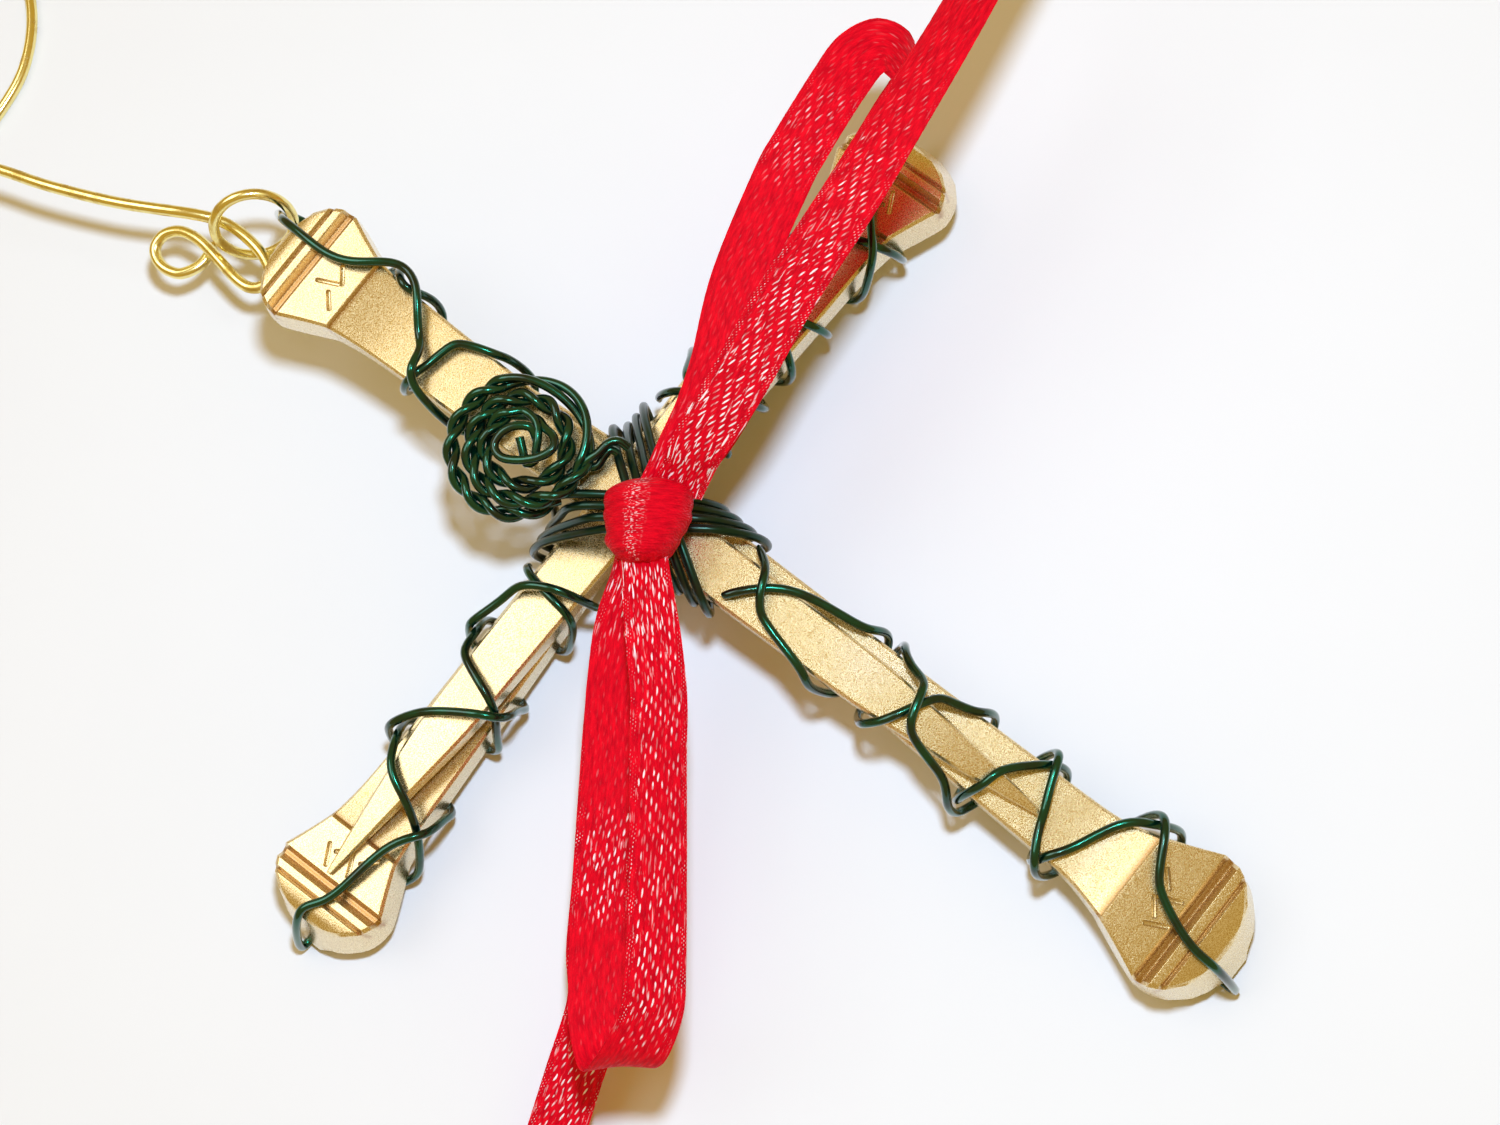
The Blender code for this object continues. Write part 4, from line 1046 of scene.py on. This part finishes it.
@dataclass
class RibbonBow:
    """The tied ribbon: knot, two loops and two tails."""

    top_loop: tuple[Station, ...] = (
        ((1.99, -2.95, 12.3), (0.62, -0.78, 0.0), 0.62), ((3.8, -2.73, 12.8), (0.58, -0.81, 0.0), 0.75),
        ((5.91, -2.5, 13.4), (0.50, -0.87, 0.0), 0.9), ((8.39, -1.87, 14.2), (0.40, -0.92, 0.0), 1.0),
        ((12.6, -0.1, 15.2), (0.35, -0.94, 0.1), 1.0),
        ((18.24, 1.38, 15.7), (0.42, -0.91, 0.0), 1.0), ((20.32, 1.73, 15.8), (0.17, -0.99, 0.0), 1.0),
        ((22.43, 1.98, 15.9), (-0.1, -0.99, 0.0), 1.0), ((24.48, 2.2, 15.9), (-0.23, -0.97, 0.0), 1.0),
        ((26.42, 2.34, 15.7), (-0.41, -0.91, 0), 1),
        ((27.68, 1.83, 15.4), (-0.74, -0.68, 0), 0.95),
        ((28.05, 0.94, 14.6), (-0.9, -0.43, 0), 0.92),
        ((27.99, 0.17, 13.2), (-0.76, -0.65, 0), 0.92),
        ((27.24, 0.04, 11.9), (-0.38, -0.93, 0), 0.95),
        ((25.97, -0.02, 11), (-0.1, -0.99, 0), 1),
        ((23.78, -0.13, 10.3), (0.04, -1, 0), 1),
        ((20.81, -0.36, 9.8), (0.06, -1, 0), 1),
        ((17.73, -0.65, 9.6), (0.06, -1, 0), 1),
        ((14.5, -0.99, 9.5), (0.08, -1, 0), 1),
        ((11.07, -1.54, 9.6), (0.11, -0.99, 0), 1),
        ((7.65, -2.12, 9.8), (0.13, -0.99, 0), 1),
        ((4.85, -2.65, 10.3), (0.14, -0.99, 0), 0.85),
        ((3.14, -2.77, 11.1), (0.60, -0.80, 0.0), 0.62))
    upper_tail: tuple[Station, ...] = (
        ((2.75, -3.95, 13.6), (0.55, -0.83, 0.0), 0.66), ((4.22, -3.92, 14.8), (0.46, -0.89, 0.0), 0.8),
        ((8.23, -3.88, 16.3), (0.30, -0.95, 0.1), 0.98), ((12.8, -3.41, 17.3), (0.22, -0.97, 0.1), 1.0),
        ((18.5, -3.04, 17.9), (0.22, -0.97, 0.1), 1.0), ((23.0, -2.51, 18.0), (0.22, -0.97, 0.2), 1.0),
        ((29.52, -1.72, 18.0), (0.26, -0.96, 0.4), 1.0), ((35.1, -0.64, 17.5), (0.28, -0.95, 0.4), 1.0),
        ((39.58, 0.36, 16.8), (0.28, -0.96, 0.2), 1.0))
    bottom_loop: tuple[Station, ...] = (
        ((-3.3, -4.85, 11.6), (0.60, -0.80, 0.0), 0.62), ((-4.9, -5.5, 11.1), (0.58, -0.81, 0.0), 0.8),
        ((-6.67, -6.22, 10.5), (0.56, -0.82, 0.0), 0.95), ((-9.12, -7.59, 9.8), (0.58, -0.81, 0.0), 1.0),
        ((-11.6, -9.35, 9.2), (0.60, -0.80, 0.0), 1.0), ((-16.52, -12.43, 8.4), (0.60, -0.80, 0.0), 1.0),
        ((-18.96, -14.05, 8.0), (0.60, -0.80, 0.0), 1.0), ((-21.08, -15.62, 7.8), (0.64, -0.76, 0.0), 1.0),
        ((-22.95, -17.2, 8.0), (0.68, -0.72, 0.0), 1.0), ((-23.95, -18.7, 8.8), (0.68, -0.72, 0.1), 1.0),
        ((-23.9, -19.85, 10.2), (0.66, -0.75, 0.1), 1.0), ((-22.7, -20.4, 11.6), (0.62, -0.78, -0.1), 1.0),
        ((-20.55, -20.0, 12.5), (0.60, -0.78, -0.35), 1.0),
        ((-18.76, -18.93, 12.9), (0.60, -0.78, -0.55), 1.0),
        ((-14.49, -15.7, 13.1), (0.60, -0.78, -0.7), 1.0),
        ((-10.12, -12.2, 13.1), (0.60, -0.78, -0.7), 1.0),
        ((-7.74, -10.31, 13.0), (0.60, -0.78, -0.6), 0.95),
        ((-5.7, -8.32, 12.9), (0.60, -0.78, -0.4), 0.85),
        ((-4.21, -6.77, 12.8), (0.60, -0.78, -0.2), 0.72),
        ((-3.01, -5.52, 12.7), (0.60, -0.78, 0.0), 0.62))
    lower_tail: tuple[Station, ...] = (
        ((-3.4, -4.5, 10.6), (0.60, -0.80, 0.0), 0.62), ((-6.11, -5.45, 9.3), (0.60, -0.80, 0.0), 0.9),
        ((-9.95, -7.64, 7.9), (0.60, -0.80, 0.0), 1.0), ((-13.71, -9.93, 6.7), (0.60, -0.80, 0.0), 1.0),
        ((-17.41, -12.27, 5.7), (0.60, -0.80, 0.0), 1.0), ((-20.67, -14.26, 4.9), (0.58, -0.82, 0.0), 1.0),
        ((-23.05, -16.04, 4.2), (0.55, -0.84, 0.0), 1.0), ((-27.14, -17.38, 3.1), (0.45, -0.89, 0.0), 1.0),
        ((-31.9, -18.9, 1.8), (0.4, -0.92, 0.0), 1.0), ((-36.3, -20.3, 0.9), (0.36, -0.93, 0.0), 1.0))

    def build(self) -> None:
        """Build the bands first and then the knot over their ends.

        Each band is given its shine, the strength of its painted glints, as distance from the
        knot and share of floats that face the lamp there.
        """
        RibbonBand("satin_top_loop", "ribbon_top_loop", self.top_loop, 56.5, False,
                   ((0.0, 0.4), (4.0, 0.08), (8.0, 0.02), (18.0, 0.02), (20.0, 0.35), (23.5, 0.3),
                    (25.0, 0.04), (56.0, 0.04))).build()
        RibbonBand("satin_upper_tail", "ribbon_upper_tail", self.upper_tail, 37.5, True,
                   ((0.0, 0.9), (3.0, 1.4), (13.0, 1.3), (18.0, 0.6), (23.0, 0.15), (28.0, 0.02),
                    (37.5, 0.02)), slant=0.45).build()
        RibbonBand("satin_bottom_loop", "ribbon_bottom_loop", self.bottom_loop, 56.0, False,
                   ((0.0, 0.8), (4.0, 0.4), (6.0, 0.02), (13.5, 0.03), (15.5, 1.0), (18.5, 1.0),
                    (20.5, 0.02), (31.0, 0.02), (33.0, 0.9), (45.0, 0.6), (52.0, 0.6), (56.0, 0.9)),
                   slant=0.12).build()
        RibbonBand("satin_lower_tail", "ribbon_lower_tail", self.lower_tail, 38.0, True,
                   ((0.0, 0.4), (20.0, 0.4), (26.0, 1.2), (38.0, 1.2))).build()
        RibbonKnot().build()


# Nails
@dataclass
class ForgedNail:
    """One horseshoe nail, its head struck with two grooves and a few short strokes.

    Each groove with painted shade is listed as place along the nail, half its width and the depth of its
    painted shade.
    """

    name: str
    node: str
    head: Place
    along: Place
    up: Place
    scale: float = 1.0
    edge_round: float = 0.05
    face_height: float = 3.0
    groove_shade_from: float = 1.6
    shaded_grooves: tuple[Place, ...] = ((2.38, 0.42, 0.9), (1.38, 0.2, 0.7), (5.72, 0.22, 0.8))
    stroke_width: float = 0.3
    stroke_height: float = 0.4
    stroke_round: float = 0.12
    stroke_sunk: float = 0.07
    strokes: tuple[tuple[float, float, float, float], ...] = ()

    def matrix(self) -> Matrix:
        """Matrix from the nail's own millimetres to the frame's metres."""
        x = Vector(self.along).normalized()
        z = Vector(self.up).normalized()
        y = z.cross(x)
        turned = Matrix((x, y, z)).transposed().to_4x4()
        return Matrix.Translation(table_point(*self.head)) @ turned @ Matrix.Scale(MM, 4)

    def cut_strokes(self, piece: bpy.types.Object) -> None:
        """Sink short rounded strokes into the face of the head.

        Args:
            piece: The nail.
        """
        for number, (s, side, turn, length) in enumerate(self.strokes):
            bpy.ops.object.select_all(action="DESELECT")
            bpy.ops.mesh.primitive_cube_add(size=1.0)
            tool = bpy.context.object
            tool.name = f"stroke {number}"
            sides = (length, self.stroke_width, self.stroke_height, 1.0)
            tool.data.transform(Matrix.Diagonal(sides))
            apply_modifier(tool, "BEVEL", width=self.stroke_round, segments=3, limit_method="NONE")
            place = Matrix.Translation((s, side, self.face_height - self.stroke_sunk * self.scale))
            tool.data.transform(self.matrix() @ place @ Matrix.Rotation(math.radians(turn), 4, "Z"))
            apply_modifier(piece, "BOOLEAN", object=tool, operation="DIFFERENCE", solver="EXACT")
            bpy.data.objects.remove(tool)

    def paint_groove_shade(self, piece: bpy.types.Object) -> None:
        """Write how deep each point lies in a groove, for the shade painted into the grooves.

        Args:
            piece: The nail.
        """
        back = self.matrix().inverted()
        layer = piece.data.attributes.new("painted_groove_shade", "FLOAT", "POINT")
        for index, vertex in enumerate(piece.data.vertices):
            s, side, high = back @ vertex.co
            share = 0.0
            if high > self.groove_shade_from:
                share = sum(max(0.0, 1.0 - abs(s - at * self.scale) / half) * depth
                            for at, half, depth in self.shaded_grooves)
            layer.data[index].value = min(1.0, share)

    def build(self, finish: Finish) -> bpy.types.Object:
        """Refine the solid: round its edges, strike its marks and dress it.

        Args:
            finish: Finish of the nail.

        Returns:
            The finished nail.
        """
        piece = copy_of_node(self.node, self.name)
        apply_modifier(piece, "BEVEL", width=self.edge_round * MM, segments=2, limit_method="ANGLE",
                       angle_limit=math.radians(24.0), use_clamp_overlap=True)
        apply_modifier(piece, "SUBSURF", levels=2, render_levels=2)
        self.cut_strokes(piece)
        self.paint_groove_shade(piece)
        smooth_shade(piece, 35.0)
        return dress(piece, finish)


@dataclass
class NailCross:
    """The four nails of the cross."""

    strokes: tuple[tuple[float, float, float, float], ...] = (
        (3.75, 1.15, 28.0, 1.5), (4.45, 0.45, -52.0, 1.3),
        (4.0, -0.35, 24.0, 1.5), (4.75, -1.15, -48.0, 1.3))

    def build(self) -> None:
        """Build the nails in the order in which they are stacked."""
        plain = SparkleCoating()
        ForgedNail("forged_left_nail", "left_nail", (-29.8, 0.2, 1.5947), (0.99939, 0.0349, 0.00262),
                   (-0.00262, -9e-05, 1.0), strokes=self.strokes).build(plain)
        ForgedNail("forged_right_nail", "right_nail", (27.1, -0.2, 3.2444), (-0.99953, 0.0157, 0.02618),
                   (0.02617, -0.00041, 0.99966), strokes=self.strokes).build(plain)
        ForgedNail("forged_foot_nail", "foot_nail", (0.19, -41.0, 1.7429), (0.02258, 0.99485, 0.09878),
                   (-0.00224, -0.09875, 0.99511), scale=1.13, strokes=self.strokes).build(plain)
        ForgedNail("forged_top_nail", "top_nail", (-0.19, 24.75, 8.7877), (0.00523, -0.99812, -0.06105),
                   (0.00032, -0.06105, 0.99813), strokes=self.strokes).build(plain)


# Wires
@dataclass
class DrawnWire:
    """One wire, refined from its faceted solid."""

    name: str
    node: str
    radius: float
    sides: int
    levels: int = 2

    def build(self, finish: Finish) -> bpy.types.Object:
        """Round the wire, give it back its thickness and dress it.

        Args:
            finish: Finish of the wire.

        Returns:
            The finished wire.
        """
        piece = copy_of_node(self.node, self.name)
        apply_modifier(piece, "SUBSURF", levels=self.levels, render_levels=self.levels)
        kept = (4 + 2 * math.cos(2 * math.pi / self.sides)) / 6
        apply_modifier(piece, "DISPLACE", strength=self.radius * (1 - kept) * MM, mid_level=0.0,
                       direction="NORMAL")
        smooth_shade(piece, 60.0)
        return dress(piece, finish)


@dataclass
class LaidWire:
    """A wire drawn along a line of its own, in the place of a packed wire if one is named."""

    name: str
    points: Sequence[Sequence[float]]
    node: str = ""
    radius: float = WIRE_RADIUS
    step: float = 0.18
    sides: int = 16

    def build(self, finish: Finish) -> bpy.types.Object:
        """Draw the wire as a bevelled curve, make it a mesh and dress it.

        Args:
            finish: Finish of the wire.

        Returns:
            The finished wire.
        """
        data = bpy.data.curves.new(self.name, "CURVE")
        data.dimensions = "3D"
        data.bevel_depth = self.radius * MM
        data.bevel_resolution = (self.sides - 4) // 2
        data.use_fill_caps = True
        line = through(self.points, self.step)
        spline = data.splines.new("POLY")
        spline.points.add(len(line) - 1)
        for slot, point in zip(spline.points, line):
            slot.co = (*table_point(*point), 1.0)
        select_only(put_in_scene(self.name, data))
        bpy.ops.object.convert(target="MESH")
        piece = bpy.context.object
        smooth_shade(piece, 60.0)
        if self.node:
            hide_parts(self.node)
        return dress(piece, finish)


@dataclass
class WireRose:
    """The rose: two wires twisted together, coiled flat and ended in a small heart.

    The coil is listed from its outer end inward as turns, radius and rise. The wires run
    nearly side by side where the twist rests. A turn counts as turn_length millimetres
    when the coil is smoothed.
    """

    centre: Place = (-1.3, 5.5, 10.45)
    start: float = -64.0
    slope: float = 3.5
    pitch: float = 3.3
    phase: float = 0.4
    offset: float = 0.27
    turn_length: float = 8.0
    resting: tuple[float, float] = (0.68, 1.02)
    resting_share: float = 0.3
    coil: tuple[Place, ...] = (
        (0.12, 3.3, -1.0), (0.18, 3.5, -0.8), (0.26, 3.8, -0.45), (0.34, 3.93, -0.12), (0.45, 3.95, 0.0),
        (0.6, 3.88, 0.0), (0.75, 3.86, 0.0), (0.9, 3.85, 0.05), (1.02, 3.72, 0.12), (1.12, 3.5, 0.22),
        (1.25, 3.1, 0.2), (1.5, 2.85, 0.05), (1.75, 2.8, 0.08), (2.0, 2.6, 0.1), (2.25, 2.15, 0.1),
        (2.5, 1.98, 0.1), (2.66, 1.95, 0.2))
    first_end: tuple[Place, ...] = (
        (0.33, 6.55, 10.85), (0.3, 5.62, 10.95), (-0.25, 4.97, 10.95), (-0.93, 4.6, 10.75),
        (-1.5, 4.3, 10.55), (-1.9, 4.6, 10.55), (-1.56, 5.01, 10.8), (-0.98, 5.69, 11.05))
    heart: tuple[Place, ...] = (
        (0.45, 5.9, 10.5), (0.3, 5.0, 10.85), (0.15, 4.09, 11.2), (-0.34, 3.66, 11.3), (-1.15, 3.91, 11.3),
        (-2.02, 4.8, 11.2), (-2.49, 5.76, 11.15), (-2.22, 6.48, 11.2), (-1.43, 6.57, 11.35),
        (-0.64, 6.18, 11.35), (-0.2, 5.48, 11.2), (-0.5, 4.95, 10.7))

    def strand(self, side: int) -> list[np.ndarray]:
        """Line of one of the two wires.

        Args:
            side: 0 for the first wire and 1 for the second.

        Returns:
            Places in millimetres from the outer end inward.
        """
        turn = self.phase + math.pi * side
        line: list[np.ndarray] = []
        last = None
        for place, radius, rise in through(np.array(self.coil) * (self.turn_length, 1.0, 1.0), 0.12):
            heading = math.radians(self.start) - 2 * math.pi * place / self.turn_length
            radial = np.array([math.cos(heading), math.sin(heading), 0.0])
            core = np.array(self.centre) + radial * radius
            core[2] += rise + radial[1] * radius * math.tan(math.radians(self.slope))
            if last is not None:
                rests = self.resting[0] < place / self.turn_length < self.resting[1]
                share = self.resting_share if rests else 1.0
                turn += 2 * math.pi * float(np.linalg.norm(core - last)) / self.pitch * share
            last = core
            away = radial * math.cos(turn) + np.array([0.0, 0.0, 1.0]) * math.sin(turn)
            line.append(core + away * self.offset)
        return line

    def build(self, finish: Finish) -> None:
        """Draw both wires, each with its own inner end.

        Args:
            finish: Finish of the wires.
        """
        for name, node, side, inner in (("rose_first_wire", "rose_wire_one", 0, self.first_end),
                                        ("rose_second_wire", "rose_wire_two", 1, self.heart)):
            LaidWire(name, self.strand(side) + [np.array(place) for place in inner], node).build(finish)


@dataclass
class WireWork:
    """All green wires: the binding, the four wound arms and the rose."""

    rose_stem: tuple[Place, ...] = (
        (-1.4, 2.6, 9.8), (-0.6, 2.1, 10.0), (0.32, 1.98, 10.35), (0.95, 1.71, 10.45), (1.78, 1.58, 10.5),
        (2.23, 1.19, 10.4), (2.27, 0.62, 10.1))
    rose_second_stem: tuple[Place, ...] = (
        (-0.9, 2.5, 9.8), (-0.32, 2.3, 9.85), (0.0, 1.86, 9.85), (0.48, 1.46, 9.85), (1.02, 1.5, 9.95),
        (1.61, 1.44, 10.0), (1.7, 1.02, 9.8))

    def build(self) -> None:
        """Build the wires from the binding outwards."""
        enamel = EnamelledCopper()
        dull = EnamelledCopper(name="rubbed green enamelled copper", colour="#163A2E", worn="#2A3A33",
                               roughness=0.3, gloss=0.3)
        for name, node, finish in (("binding_lower_turns", "binding_lower_band", dull),
                                   ("binding_upper_turns", "binding_upper_band", dull),
                                   ("left_arm_wire", "wire_left_arm", enamel),
                                   ("right_arm_wire", "wire_right_arm", enamel),
                                   ("foot_arm_wire", "wire_foot_arm", enamel),
                                   ("top_arm_wire", "wire_top_arm", enamel)):
            DrawnWire(name, node, WIRE_RADIUS, 6).build(finish)
        WireRose().build(enamel)
        LaidWire("rose_stem_first_wire", self.rose_stem).build(enamel)
        LaidWire("rose_stem_second_wire", self.rose_second_stem).build(enamel)


@dataclass
class Hanger:
    """The jump ring and the hanging hook."""

    ring_radius: float = 0.325
    hook_radius: float = 0.36

    def build(self) -> None:
        """Build the ring and then the hook."""
        gold = GoldPlatedWire()
        DrawnWire("gold_jump_ring", "jump_ring", self.ring_radius, 8).build(gold)
        DrawnWire("gold_hook", "hanging_hook", self.hook_radius, 8).build(gold)


def main() -> None:
    """Build the scene in order: the table and camera, then the ornament's pieces."""
    logging.basicConfig(level=logging.INFO, format="%(message)s")
    CardTable().build()
    RibbonBow().build()
    NailCross().build()
    WireWork().build()
    Hanger().build()


if __name__ == "__main__":
    main()
